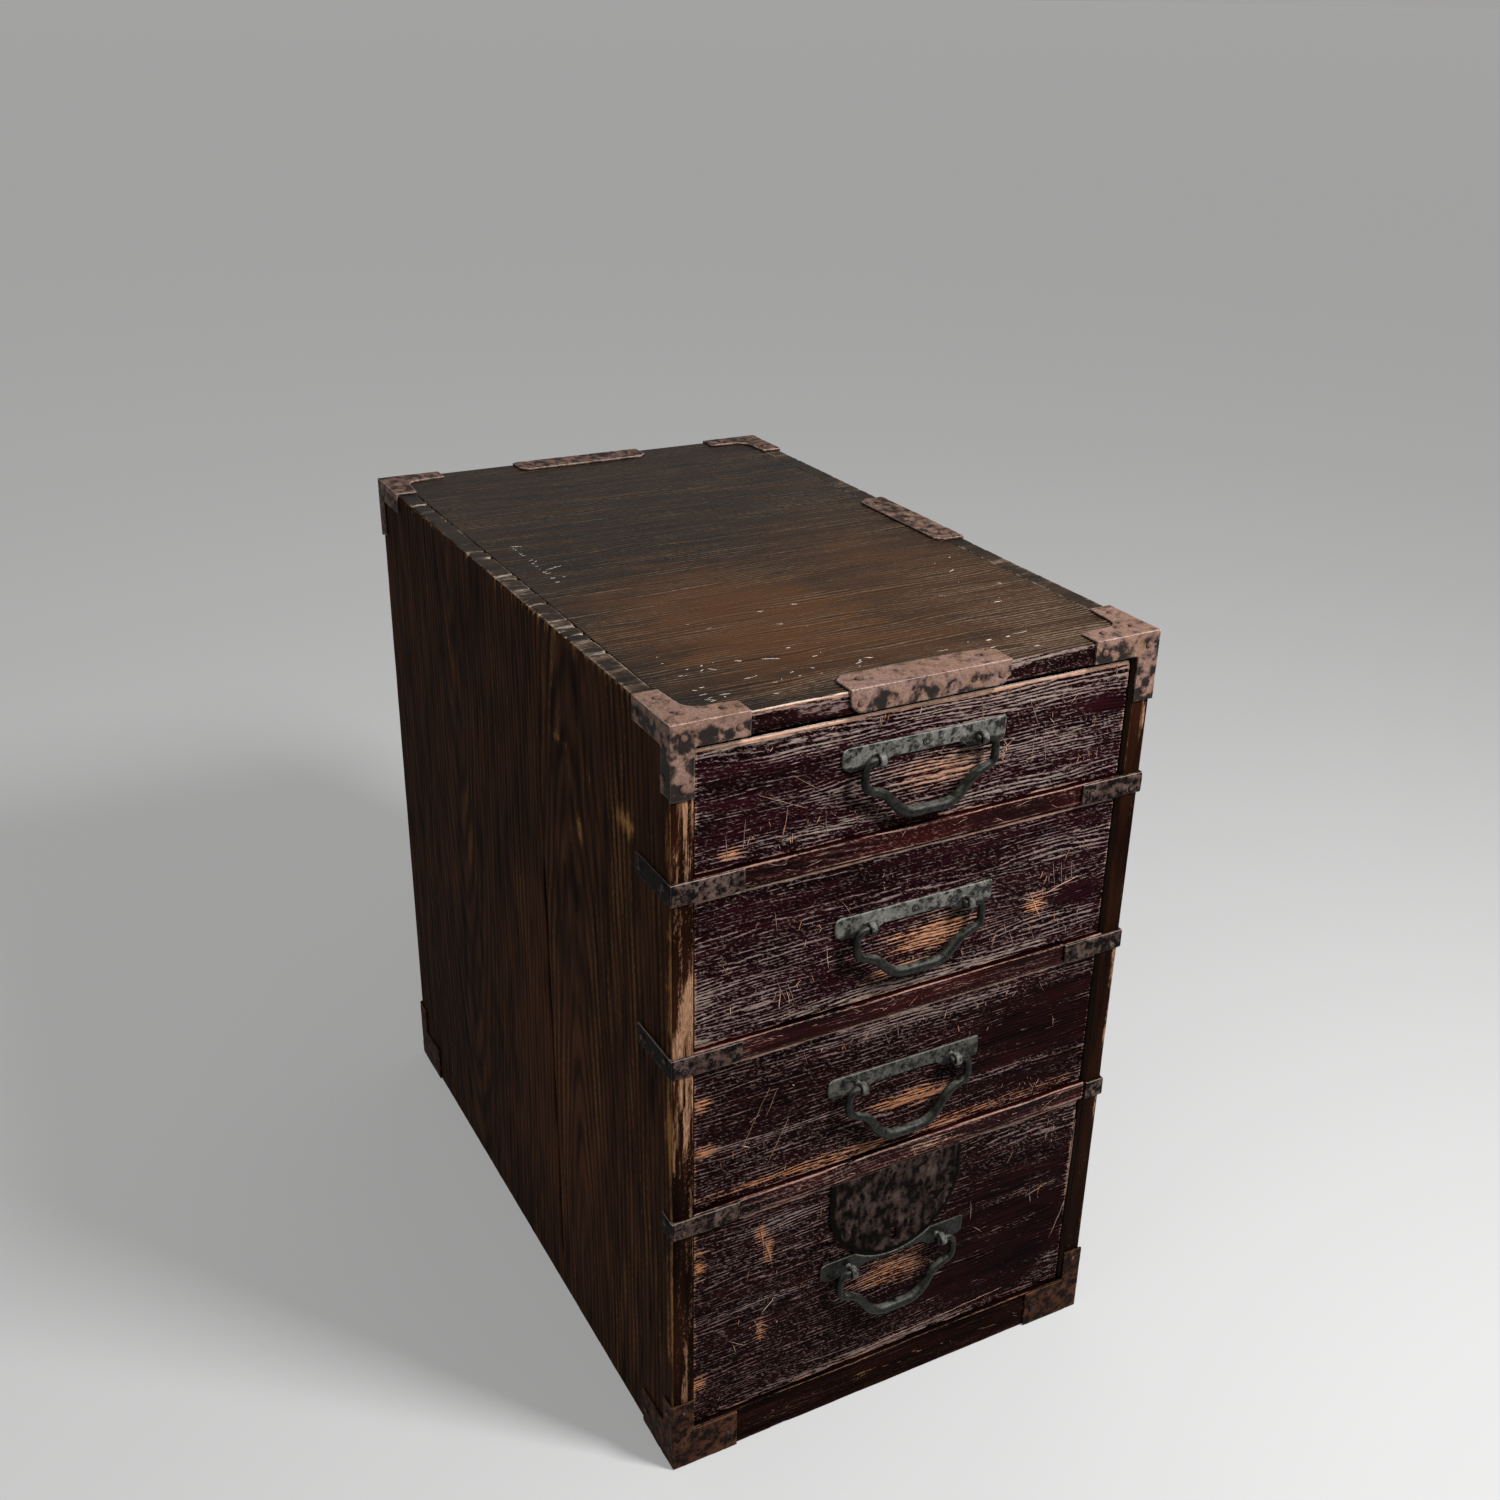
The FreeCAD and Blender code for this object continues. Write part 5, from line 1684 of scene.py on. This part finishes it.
def forged_head(cad: np.ndarray, seed: int) -> Skin:
    """Make a nail with a low, uneven, domed head where a nail of the frame is.

    Args:
        cad: the frame's points of that nail.
        seed: which nail.

    Returns:
        A closed skin inside that nail's own box.
    """
    low, high = cad.min(0), cad.max(0)
    axis = int(np.argmax(high - low))
    others = [place for place in range(3) if place != axis]
    middle = (low + high) / 2
    spread = np.hypot(*(cad[:, others] - middle[others]).T)
    widest = cad[spread > 0.9 * spread.max(), axis].mean()
    way = 1.0 if widest > middle[axis] else -1.0
    crown = high[axis] if way > 0 else low[axis]
    rise, radius = abs(crown - widest), spread.max()
    # Share of the radius and of the rise at each ring, and the dirt there
    profile = [(0.34, -4.0), (0.36, -0.05), (1.0, 0.0), (0.97, 0.4), (0.8, 0.5), (0.66, 0.86), (0.34, 0.98)]
    dirt = [1.0, 1.0, 1.0, 0.3, 1.0, 0.0, 0.0]
    count = 12
    angles = turns(count)
    shape = 1.0 - 0.12 * np.random.default_rng(seed).random(count)
    points = []
    for share, level in profile:
        ring = np.zeros((count, 3))
        ring[:, others[0]] = middle[others[0]] + radius * share * shape * np.cos(angles)
        ring[:, others[1]] = middle[others[1]] + radius * share * shape * np.sin(angles)
        ring[:, axis] = widest + way * rise * level
        points.append(ring)
    tip = middle.copy()
    tip[axis] = widest + way * rise
    points.append(tip[None])
    rings = len(profile)
    faces = tube(rings, count)
    last = (rings - 1) * count
    faces += [[last + place, last + (place + 1) % count, rings * count] for place in range(count)]
    faces.append(list(range(count))[::-1])
    right_handed = (way > 0) == (axis != 1)
    if not right_handed:
        faces = [face[::-1] for face in faces]
    pits = np.append(np.repeat(dirt, count), 0.0)
    return Skin(np.clip(np.vstack(points), low, high), faces, marks={"pit": pits})


@dataclass
class Handle:
    """A drop handle: forged plate, two split posts and a bail; lengths in millimetres.

    Attributes:
        index: number of its drawer.
        spacing: distance between the posts.
        reach: distance of the bail's axis from the plate.
        eye: outer radius, bore and width of a post's eye.
        half: half of the bail's line: distance from the middle and drop below the axis, and the bend there.
        grip: half length of the grip, and the bend at its end.
        drops: drop of the grip below the axis in each drawer.
        thin: radius of the bail at its ends.
        thick: radius at the grip.
        round_count: points round the bail.
        row_count: rings of points along it.
        shank: radius of a post's shank, and where it starts behind the axis.
        leg: half width, thickness and half length of a post's spread legs.
        tab: length of the plate's high ends.
        slope: length of the slopes between them and the waist.
        waist_rise: how much higher the waist's lower edge is.
        plate_bends: rounding of the plate's corners, from the upper left one.
        nail_down: distance of the centre nail from the plate's upper edge.
        lock_gap: gap between the plate and the lock plate.
    """

    index: int
    spacing: float = 61.0
    reach: float = 5.5
    eye: Triple = (3.8, 2.2, 3.6)
    half: tuple[Triple, ...] = ((27.0, 0.0, 0.0), (39.0, 0.0, 5.6), (39.0, 15.0, 5.6), (27.0, 19.5, 14.0))
    grip: Pair = (15.0, 16.0)
    drops: tuple[float, ...] = (33.0, 31.5, 37.5, 37.0)
    thin: float = 2.1
    thick: float = 3.2
    round_count: int = 20
    row_count: int = 150
    shank: Pair = (1.7, 2.6)
    leg: Triple = (1.5, 1.2, 9.0)
    tab: float = 23.5
    slope: float = 4.5
    waist_rise: float = 3.5
    plate_bends: tuple[float, ...] = (3.5, 5.5, 7.0, 7.0, 7.0, 7.0, 3.5, 1.5)
    nail_down: float = 4.75
    lock_gap: float = 0.3

    @property
    def node(self) -> str:
        """Give the start of the handle's node names."""
        return f"handle_{self.index}"

    @property
    def axis(self) -> Pair:
        """Give the y and z of the bail's axis."""
        low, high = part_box(f"{self.node}_plate")
        return low.y - self.reach * MM, (low.z + high.z) / 2

    def build_plate(self) -> None:
        """Make the back plate with its high ends and its waist."""
        node = f"{self.node}_plate"
        low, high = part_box(node)
        hammer = Hammer(grid=0.55, wobble=0.55, reach=8.0, dent=0.15, pit=0.2, pit_size=1.3)
        half, top, bottom = high.x / MM, high.z / MM, low.z / MM
        waist = bottom + self.waist_rise
        inner = half - self.tab
        path = [(-half, top), (-half, bottom), (-inner, bottom), (self.slope - inner, waist),
                (inner - self.slope, waist), (inner, bottom), (half, bottom), (half, top)]
        arc = self.lock_arc(top) if self.index == LOCKED else [(0.0, top)]
        outline = rounded([arc[-1], *path, arc[0]], list(self.plate_bends)).tolist()[:-1] + arc[:-1]
        outline = [(x * MM, z * MM) for x, z in outline]
        skin = hammer.shape([prism(outline, Axis.Y, low.y, high.y)], 200 + self.index, low, high)
        # Painted shade darkens the plate along its lower edge
        skin.marks["pit"] = skin.marks["pit"] + smooth(3.5, 0.5, skin.points[:, Axis.Z] / MM - bottom)
        finish = PLATE_IRONS[self.index - 1]
        settle(skin.place(f"{node}_forged", [finish.material()]), f"drawer_{self.index}", "handle_iron", node)

    def lock_arc(self, top: float) -> list[Pair]:
        """Give the hollow that the lock plate's round end needs in the upper edge.

        Args:
            top: height of that edge, in millimetres.

        Returns:
            The points of the hollow from right to left, in millimetres.
        """
        low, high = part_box("lock_plate")
        radius = high.x / MM + self.lock_gap
        centre = (low.z + high.x) / MM
        turn = math.asin(math.sqrt(radius ** 2 - (centre - top) ** 2) / radius)
        return [(radius * math.sin(a), centre - radius * math.cos(a)) for a in np.linspace(turn, -turn, 15)]

    def build_posts(self) -> None:
        """Make the eyes, shanks and spread legs, and the nail in the middle of the plate."""
        node = f"{self.node}_posts"
        low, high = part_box(node)
        y, z = self.axis
        inside = high.y
        thick, start = (length * MM for length in self.shank)
        wide, deep, tall = (length * MM for length in self.leg)
        skins = []
        for side in (-1, 1):
            x = side * self.spacing / 2 * MM
            round_rod = [(x + thick * math.cos(a), z + thick * math.sin(a)) for a in turns(14)]
            skins.append(self.ring(x, y, z))
            skins.append(prism(round_rod, Axis.Y, y + start, inside))
            skins.append(slab((x - wide, inside - deep, z - tall), (x + wide, inside, z + tall)))
        if self.index != LOCKED:
            plate_low, plate_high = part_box(f"{self.node}_plate")
            skins.append(self.centre_nail(plate_low.y, plate_high.z - self.nail_down * MM))
        whole = skins[0].join(*skins[1:])
        whole.points = np.clip(whole.points, low, high)
        piece = whole.place(f"{node}_forged", [HANDLE_IRON.material()])
        settle(piece, f"drawer_{self.index}", "handle_iron", node)

    def centre_nail(self, y: float, z: float) -> Skin:
        """Make the nail in the middle of the plate with a ring stamped round it.

        Args:
            y: front of the plate, in metres.
            z: height of the nail, in metres.

        Returns:
            The closed nail, with the mark pit.
        """
        # Radius of each ring and its distance behind the plate's front, and the dirt there
        profile = [(0.9, 2.0), (2.2, 0.0), (2.15, -0.5), (1.7, -0.75), (1.25, -0.45), (0.8, -0.8),
                   (0.3, -0.9)]
        dirt = [1.5, 1.5, 1.5, 0.0, 2.0, 0.0, 0.0]
        count = 16
        points = []
        for radius, level in profile:
            for a in turns(count):
                points.append((radius * MM * math.cos(a), y + level * MM, z + radius * MM * math.sin(a)))
        ring = list(range(count))
        last = len(points) - count
        faces = [*tube(len(profile), count), ring[::-1], [last + place for place in ring]]
        return Skin(np.array(points), faces, marks={"pit": np.repeat(dirt, count)})

    def ring(self, x: float, y: float, z: float) -> Skin:
        """Make an eye as a thick, rounded ring round the bail's axis.

        Args:
            x: its place across the chest, in metres.
            y: place of the axis, in metres.
            z: height of the axis, in metres.

        Returns:
            The closed ring.
        """
        outer, bore, width = self.eye
        middle, deep, wide = (outer + bore) / 2, (outer - bore) / 2, width / 2
        rows, count, square = 28, 12, 0.6
        points = []
        for turn in turns(rows):
            for a in turns(count):
                c, s = math.cos(a), math.sin(a)
                radial = middle + deep * math.copysign(abs(c) ** square, c)
                side = wide * math.copysign(abs(s) ** square, s)
                across, up = radial * math.cos(turn) * MM, radial * math.sin(turn) * MM
                points.append((x + side * MM, y + across, z + up))
        return Skin(np.array(points), tube(rows, count, closed=True))

    def line(self) -> np.ndarray:
        """Give the bail's line from end to end.

        Returns:
            Distances from the middle and drops below the axis, in millimetres.
        """
        right = [*self.half, (self.grip[0], self.drops[self.index - 1], self.grip[1])]
        left = [(-across, drop, bend) for across, drop, bend in right]
        whole = left + right[::-1]
        return rounded([point[:2] for point in whole], [point[2] for point in whole[1:-1]])

    def build_bail(self) -> None:
        """Make the bail: a rod forged thick at the grip and drawn thin at its ends."""
        node = f"{self.node}_bail"
        low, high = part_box(node)
        y, z = self.axis
        line = self.line()
        lengths = np.concatenate([[0.0], np.cumsum(np.linalg.norm(np.diff(line, axis=0), axis=1))])
        even = np.linspace(0.0, lengths[-1], self.row_count)
        across, drop = np.interp(even, lengths, line[:, 0]), np.interp(even, lengths, line[:, 1])
        centre = np.stack([across * MM, np.full(len(even), y), z - drop * MM], -1)
        tangent = np.gradient(centre, axis=0)
        tangent /= np.linalg.norm(tangent, axis=1, keepdims=True)
        flank = np.stack([-tangent[:, 2], np.zeros(len(even)), tangent[:, 0]], -1)
        share = 1.0 - np.abs(2 * even / lengths[-1] - 1.0)
        in_eye = smooth(0.02, 0.09, share)
        radius = self.thin + (self.thick - self.thin) * smooth(0.08, 0.92, share)
        count = self.round_count
        angles = turns(count)[:, None]
        round_rod = np.cos(angles) * flank[:, None] + np.sin(angles) * np.array([0.0, 1.0, 0.0])
        points = (centre[:, None] + (radius * MM)[:, None, None] * round_rod).reshape(-1, 3)
        outward = points - np.repeat(centre, count, axis=0)
        uneven = cloudy(points, 6.0, 300 + self.index)
        sunk = np.repeat(in_eye, count) * (0.05 + 0.05 * uneven)
        points = points - outward * sunk[:, None]
        ring = list(range(count))
        last = len(points) - count
        faces = [[b, a, d, c] for a, b, c, d in tube(self.row_count, count)]
        faces += [ring, [last + place for place in ring[::-1]]]
        # Pale rubbed patches only on the rod's upper side: worn metal with a painted highlight
        top = smooth(0.4, 0.95, outward[:, 2] / np.linalg.norm(outward, axis=1))
        rubbed = smooth(-0.5, 0.5, cloudy(points, 3.0, 330 + self.index, layers=3))
        pits = smooth(0.1, 0.6, cloudy(points, 2.0, 320 + self.index))
        skin = Skin(np.clip(points, low, high), faces, marks={"edge": 0.7 * top * rubbed, "pit": pits})
        piece = skin.place(f"{node}_forged", [BAIL_IRON.material()])
        settle(piece, f"bail_{self.index}", "handle_iron", node)

    def build(self) -> None:
        """Make the plate, posts and bail."""
        self.build_plate()
        self.build_posts()
        self.build_bail()


@dataclass
class Lock:
    """The lock of the lowest drawer; lengths in millimetres.

    Attributes:
        key: width and height of the keyhole, and its height over the plate's lower end.
        lap: how far the two halves that the plate is welded from overlap.
        rim: width of the painted shadow along its round rim.
    """

    key: Triple = (3.4, 10.0, 8.0)
    lap: float = 0.3
    rim: float = 4.0

    def build(self) -> None:
        """Make the pitted plate with its keyhole; the case and the bolt keep their shapes."""
        low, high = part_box("lock_plate")
        parts = [prism(self.half_plate(side), Axis.Y, low.y, high.y) for side in (-1, 1)]
        hammer = Hammer(grid=0.75, wobble=0.5, reach=9.0, dent=0.2, pit=0.4, pit_size=2.4)
        skin = hammer.shape(parts, 400, low, high)
        # Painted shadow darkens the plate along its round rim
        from_top = np.minimum(skin.points[:, Axis.Z] - (low.z + high.x), 0.0)
        reach = np.hypot(skin.points[:, Axis.X], from_top) / MM
        rim = smooth(high.x / MM - self.rim, high.x / MM - 0.4 * self.rim, reach)
        skin.marks["pit"] = skin.marks["pit"] + rim
        piece = skin.place("lock_plate_forged", [LOCK_IRON.material()])
        settle(piece, f"drawer_{LOCKED}", "lock_iron", "lock_plate")
        dress_node("lock_case", LOCK_IRON)
        dress_node("lock_bolt", LOCK_IRON)

    def half_plate(self, side: int) -> list[Pair]:
        """Give the outline of the plate's left or right half, with half of the keyhole.

        Args:
            side: -1 for the left, 1 for the right.

        Returns:
            Its points, in metres.
        """
        low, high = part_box("lock_plate")
        radius, bottom, top = high.x / MM, low.z / MM, high.z / MM
        wide, tall, rise = self.key
        arc = [(radius * math.sin(a), bottom + radius * (1.0 - math.cos(a)))
               for a in np.linspace(0.0, math.pi / 2, 24)]
        middle = [(-self.lap, top), (-self.lap, bottom + rise + tall), (wide / 2, bottom + rise + tall),
                  (wide / 2, bottom + rise), (-self.lap, bottom + rise), (-self.lap, bottom)]
        outline = [(side * x * MM, z * MM) for x, z in [*arc, (radius, top), *middle]]
        return outline if side > 0 else outline[::-1]


@dataclass(frozen=True)
class Lamp:
    """A soft square lamp.

    Attributes:
        name: its name.
        place: where it hangs, in metres.
        size: length of its sides, in metres.
        power: its power, in watts.
    """

    name: str
    place: Triple
    size: float
    power: float


@dataclass
class Studio:
    """Floor, lights and camera; the camera stands where the photograph's did.

    Attributes:
        lens: focal length, in millimetres.
        sensor: width of the film, in millimetres.
        place: where the camera stands, in metres.
        turn: its angles, in degrees.
        floor_radius: radius of the floor, in metres.
        lamps: a strong lamp over the front and a large, weak one on the left.
        aim: where the lamps look, in metres.
        sky: colour of the even sky.
        sky_light: how strongly it lights things.
        sky_look: how bright it looks.
    """

    lens: float = 39.368
    sensor: float = 36.0
    place: Triple = (-0.43442, -0.84261, 0.76929)
    turn: Triple = (65.1513, -0.9084, -28.019)
    floor_radius: float = 300.0
    lamps: tuple[Lamp, ...] = (Lamp("key_lamp", (0.5, -0.9, 1.25), 0.28, 23.0),
                               Lamp("fill_lamp", (-1.7, -0.9, 0.9), 1.6, 3.5))
    aim: Triple = (0.0, 0.0, 0.25)
    sky: str = "#e4e3e1"
    sky_light: float = 0.28
    sky_look: float = 0.468

    def build(self) -> None:
        """Make the floor, the lights and the camera."""
        self.floor()
        self.lights()
        self.camera()

    def floor(self) -> None:
        """Make a round floor so wide that its end lies at the horizon."""
        angles = turns(48)
        points = self.floor_radius * np.stack([np.cos(angles), np.sin(angles), np.zeros(len(angles))], -1)
        ground = Skin(points, [list(range(len(angles)))]).place(
            "studio_floor", [PaleConcrete("pale rolled concrete, floor").material()])

    def lights(self) -> None:
        """Hang the lamps and an even sky."""
        for lamp in self.lamps:
            data = bpy.data.lights.new(lamp.name, "AREA")
            data.size, data.energy = lamp.size, lamp.power
            hung = bpy.data.objects.new(lamp.name, data)
            bpy.context.scene.collection.objects.link(hung)
            hung.location = lamp.place
            way = Vector(self.aim) - Vector(lamp.place)
            hung.rotation_euler = way.to_track_quat("-Z", "Y").to_euler()
        world = bpy.data.worlds.new("studio")
        bpy.context.scene.world = world
        shader = Shader(world)
        strength = shader.add("MapRange", {"Value": shader.seen(), "To Min": self.sky_light,
                                           "To Max": self.sky_look})
        sky = shader.add("Background", {"Color": linear(self.sky), "Strength": strength})
        shader.add("OutputWorld", {"Surface": sky})

    def camera(self) -> None:
        """Stand the camera at the photograph's place with its lens."""
        data = bpy.data.cameras.new("camera")
        data.lens, data.sensor_width = self.lens, self.sensor
        data.sensor_fit = "HORIZONTAL"
        eye = bpy.data.objects.new("camera", data)
        bpy.context.scene.collection.objects.link(eye)
        eye.location = self.place
        eye.rotation_euler = Euler([math.radians(angle) for angle in self.turn])
        bpy.context.scene.camera = eye
        bpy.context.scene.view_settings.view_transform = "Standard"


# Where the wear is: the drawers from the top, then the carcass

DRAWERS = [
    Drawer(1, base_wear=0.225, top_line=0.95, top_pale=1.7, top_width=2.3, sag=1.0, nick_places=[
        Knocks(55, 394, (18, 6), 14), Knocks(192, 410, (8, 6), 12), Knocks(245, 398, (14, 5), 8),
        Knocks(100, 398, (24, 6), 10), Knocks(130, 445, (60, 4), 10), Knocks(230, 425, (25, 14), 8),
    ], patches=[
        Patch(45, 447, (32, 3.5)), Patch(75, 438, (28, 5)), Patch(190, 443, (95, 9), strength=0.75),
        Patch(180, 412, (100, 9), strength=0.7), Patch(150, 391, (110, 5)),
        Patch(55, 427, (40, 12), Wear.KEPT, 0.7), Patch(45, 404, (36, 9), Wear.KEPT, 0.6),
        Patch(258, 426, (15, 6), Wear.KEPT), Patch(130, 389, (34, 3.5), Wear.KEPT),
        Patch(33, 391, (8, 3.5), Wear.BARE), Patch(152, 411, (28, 9), Wear.BARE, 0.5),
    ], scratches=[
        Scratch((30, 401), (31, 388)), Scratch((41, 408), (40, 391)), Scratch((64, 409), (63, 397)),
        Scratch((66, 426), (83, 414), 0.19, 0.3), Scratch((48, 419), (75, 406), 0.19, 0.3),
        Scratch((176, 447), (177, 434)), Scratch((212, 421), (211, 402)), Scratch((218, 417), (221, 400)),
        Scratch((206, 441), (214, 423), 0.19, 0.3), Scratch((190, 423), (197, 411), 0.31),
        Scratch((188, 411), (199, 419)), Scratch((262, 449), (263, 440)), Scratch((86, 399), (87, 389)),
        Scratch((203, 404), (219, 406), 0.31),
    ]),
    Drawer(2, base_wear=0.215, top_line=0.6, nick_places=[
        Knocks(65, 302, (18, 8), 22), Knocks(25, 328, (6, 5), 6), Knocks(120, 354, (16, 6), 6),
        Knocks(155, 296, (18, 4), 10), Knocks(195, 297, (9, 5), 6), Knocks(80, 338, (40, 9), 12),
        Knocks(230, 328, (16, 9), 8), Knocks(240, 298, (20, 8), 8),
    ], patches=[
        Patch(120, 357, (100, 10), Wear.KEPT, 0.3), Patch(45, 308, (32, 18), strength=0.5),
        Patch(18, 305, (6, 25), strength=0.6), Patch(235, 346, (40, 8), strength=0.6),
        Patch(240, 298, (35, 10), strength=0.5), Patch(155, 312, (31, 11), Wear.BARE),
        Patch(135, 296, (22, 4), Wear.BARE, 0.8), Patch(224, 313, (8, 8), Wear.BARE, 0.9),
        Patch(255, 313, (20, 8), Wear.KEPT), Patch(150, 287, (120, 4)),
    ], scratches=[
        Scratch((233, 338), (236, 322)), Scratch((239, 336), (241, 320)), Scratch((246, 334), (248, 322)),
        Scratch((219, 322), (228, 303), 0.35, 1.45), Scratch((213, 320), (233, 311), 0.35, 1.45),
        Scratch((207, 302), (211, 290)), Scratch((222, 299), (226, 288)), Scratch((60, 313), (66, 296)),
        Scratch((66, 309), (72, 293)), Scratch((90, 322), (91, 309), 0.27, 1.45),
        Scratch((84, 315), (93, 316)), Scratch((96, 350), (104, 338), 0.19, 0.3),
        Scratch((58, 352), (60, 340), 0.19, 0.3), Scratch((228, 318), (252, 324), 0.27, 1.35),
    ]),
    Drawer(3, base_wear=0.23, top_line=0.6, lacquer=LOWER_LACQUER, nick_places=[
        Knocks(110, 258, (45, 4), 12), Knocks(45, 210, (16, 6), 8), Knocks(200, 258, (50, 4), 10),
        Knocks(185, 240, (18, 6), 5), Knocks(60, 190, (40, 4), 8), Knocks(230, 190, (30, 5), 8),
    ], patches=[
        Patch(170, 262, (90, 6), strength=0.8), Patch(60, 235, (45, 18), Wear.KEPT, 0.5),
        Patch(235, 225, (60, 40), Wear.KEPT), Patch(19, 216, (7, 5), Wear.BARE),
        Patch(18, 247, (6, 7), Wear.BARE), Patch(60, 214, (45, 2.5)), Patch(200, 206, (70, 2.5)),
        Patch(148, 209, (28, 6), Wear.BARE), Patch(148, 184, (130, 4.5), Wear.BARE, 0.8),
    ], scratches=[
        Scratch((58, 245), (40, 206), 0.19, 0.38), Scratch((63, 243), (56, 226), 0.19, 0.3),
        Scratch((70, 221), (57, 193), 0.19, 0.38), Scratch((46, 226), (52, 229)),
        Scratch((72, 242), (73, 241), 0.61, 1.55), Scratch((128, 259), (133, 248)),
        Scratch((136, 262), (138, 252)), Scratch((245, 233), (246, 226), 0.31, 0.38),
        Scratch((101, 205), (112, 196), 0.19, 0.3), Scratch((204, 187), (206.5, 181)),
        Scratch((237, 189), (235, 180)), Scratch((78, 262), (81, 252), 0.19, 0.34),
        Scratch((232, 261), (237, 252)),
    ]),
    Drawer(4, base_wear=0.205, top_line=0.45, lacquer=LOWER_LACQUER, nick_places=[
        Knocks(240, 148, (30, 8), 12), Knocks(50, 76, (18, 6), 8), Knocks(98, 150, (8, 6), 5),
        Knocks(245, 104, (16, 5), 6), Knocks(60, 110, (30, 20), 10), Knocks(150, 34, (70, 4), 10),
    ], patches=[
        Patch(238, 150, (33, 10), strength=0.5), Patch(230, 80, (60, 60), Wear.KEPT, 1.1),
        Patch(70, 152, (30, 6), strength=0.7), Patch(60, 99, (40, 2.5)), Patch(235, 108, (40, 3)),
        Patch(225, 85, (30, 3), strength=0.7), Patch(55, 147, (2.5, 7), Wear.BARE),
        Patch(60, 133, (3, 10), Wear.BARE), Patch(56, 78, (3, 8), Wear.BARE),
        Patch(145, 84, (28, 11), Wear.BARE, 0.75), Patch(272, 110, (3, 50)), Patch(262, 46, (10, 5)),
        Patch(258, 36, (16, 4)), Patch(150, 30, (120, 3)), Patch(17, 140, (4, 10), Wear.BARE),
        Patch(17, 55, (5, 8), Wear.BARE), Patch(150, 55, (60, 12), Wear.KEPT, 0.4),
    ], scratches=[
        Scratch((54, 154), (57, 136), 0.61, 0.38), Scratch((57, 142), (63, 122), 0.69, 0.42),
        Scratch((51, 88), (57, 73), 0.46, 0.42), Scratch((54, 82), (61, 78), 0.35),
        Scratch((198, 116), (199, 101), 0.31), Scratch((201, 95), (208, 88)), Scratch((36, 78), (46, 70)),
        Scratch((240, 104), (255, 108), 0.27), Scratch((272, 150), (271, 88), 0.38, 0.3),
        Scratch((271, 88), (262, 62), 0.35, 0.3), Scratch((120, 30), (172, 33), 0.31, 0.38),
        Scratch((172, 33), (228, 36), 0.27, 0.34),
    ]),
]

CARCASS = Carcass(
    left_patches=[
        Patch(52, 392, (10, 5), Wear.BARE, 1.2), Patch(56, 426, (1.5, 14), Wear.BARE, 0.5),
        Patch(140, 403, (16, 3), Wear.BARE, 0.6), Patch(112, 360, (6, 8), Wear.BARE, 0.6),
        Patch(102, 396, (5, 5), Wear.BARE, 0.5), Patch(190, 375, (15, 8), strength=0.6),
        Patch(22, 250, (19, 1.2), Wear.BARE), Patch(40, 300, (10, 60), strength=0.4),
        Patch(165, 150, (75, 110), Wear.AMBER, 0.45), Patch(50, 435, (70, 26), Wear.KEPT, 0.7),
        Patch(300, 438, (150, 22), Wear.KEPT, 0.6), Patch(435, 260, (22, 160), Wear.KEPT, 0.7),
    ],
    right_patches=[Patch(60, 380, (20, 8), strength=0.6), Patch(200, 120, (40, 12), strength=0.5)],
    top_patches=[
        Patch(100, 110, (75, 85), Wear.AMBER, 0.9), Patch(130, 45, (80, 25), Wear.AMBER, 0.6),
        Patch(215, 120, (70, 130), Wear.AMBER, 0.45), Patch(235, 60, (45, 70), strength=0.35),
        Patch(150, 14, (130, 14), strength=0.3),
    ],
    nick_places=[
        Knocks(27, 275, (6, 12), 7), Knocks(28, 225, (10, 26), 14), Knocks(40, 62, (16, 12), 8),
        Knocks(34, 20, (12, 20), 10), Knocks(85, 40, (30, 26), 12), Knocks(150, 24, (80, 14), 16),
        Knocks(90, 110, (40, 26), 7), Knocks(240, 90, (22, 60), 9),
    ],
    rail_patches={3: [Patch(165, 173, (18, 3), Wear.BARE), Patch(80, 173, (60, 5), strength=0.4)],
                  4: [Patch(126, 14, (8, 2.5), Wear.BARE, 0.7)]},
)


def main() -> None:
    """Build the chest piece by piece, then the studio round it."""
    logging.basicConfig(level=logging.INFO, format="%(name)s: %(message)s")
    CARCASS.build()
    Irons().build()
    for drawer in DRAWERS:
        drawer.build_front()
        drawer.build_box()
        Handle(drawer.index).build()
    Lock().build()
    Studio().build()


if __name__ == "__main__":
    main()
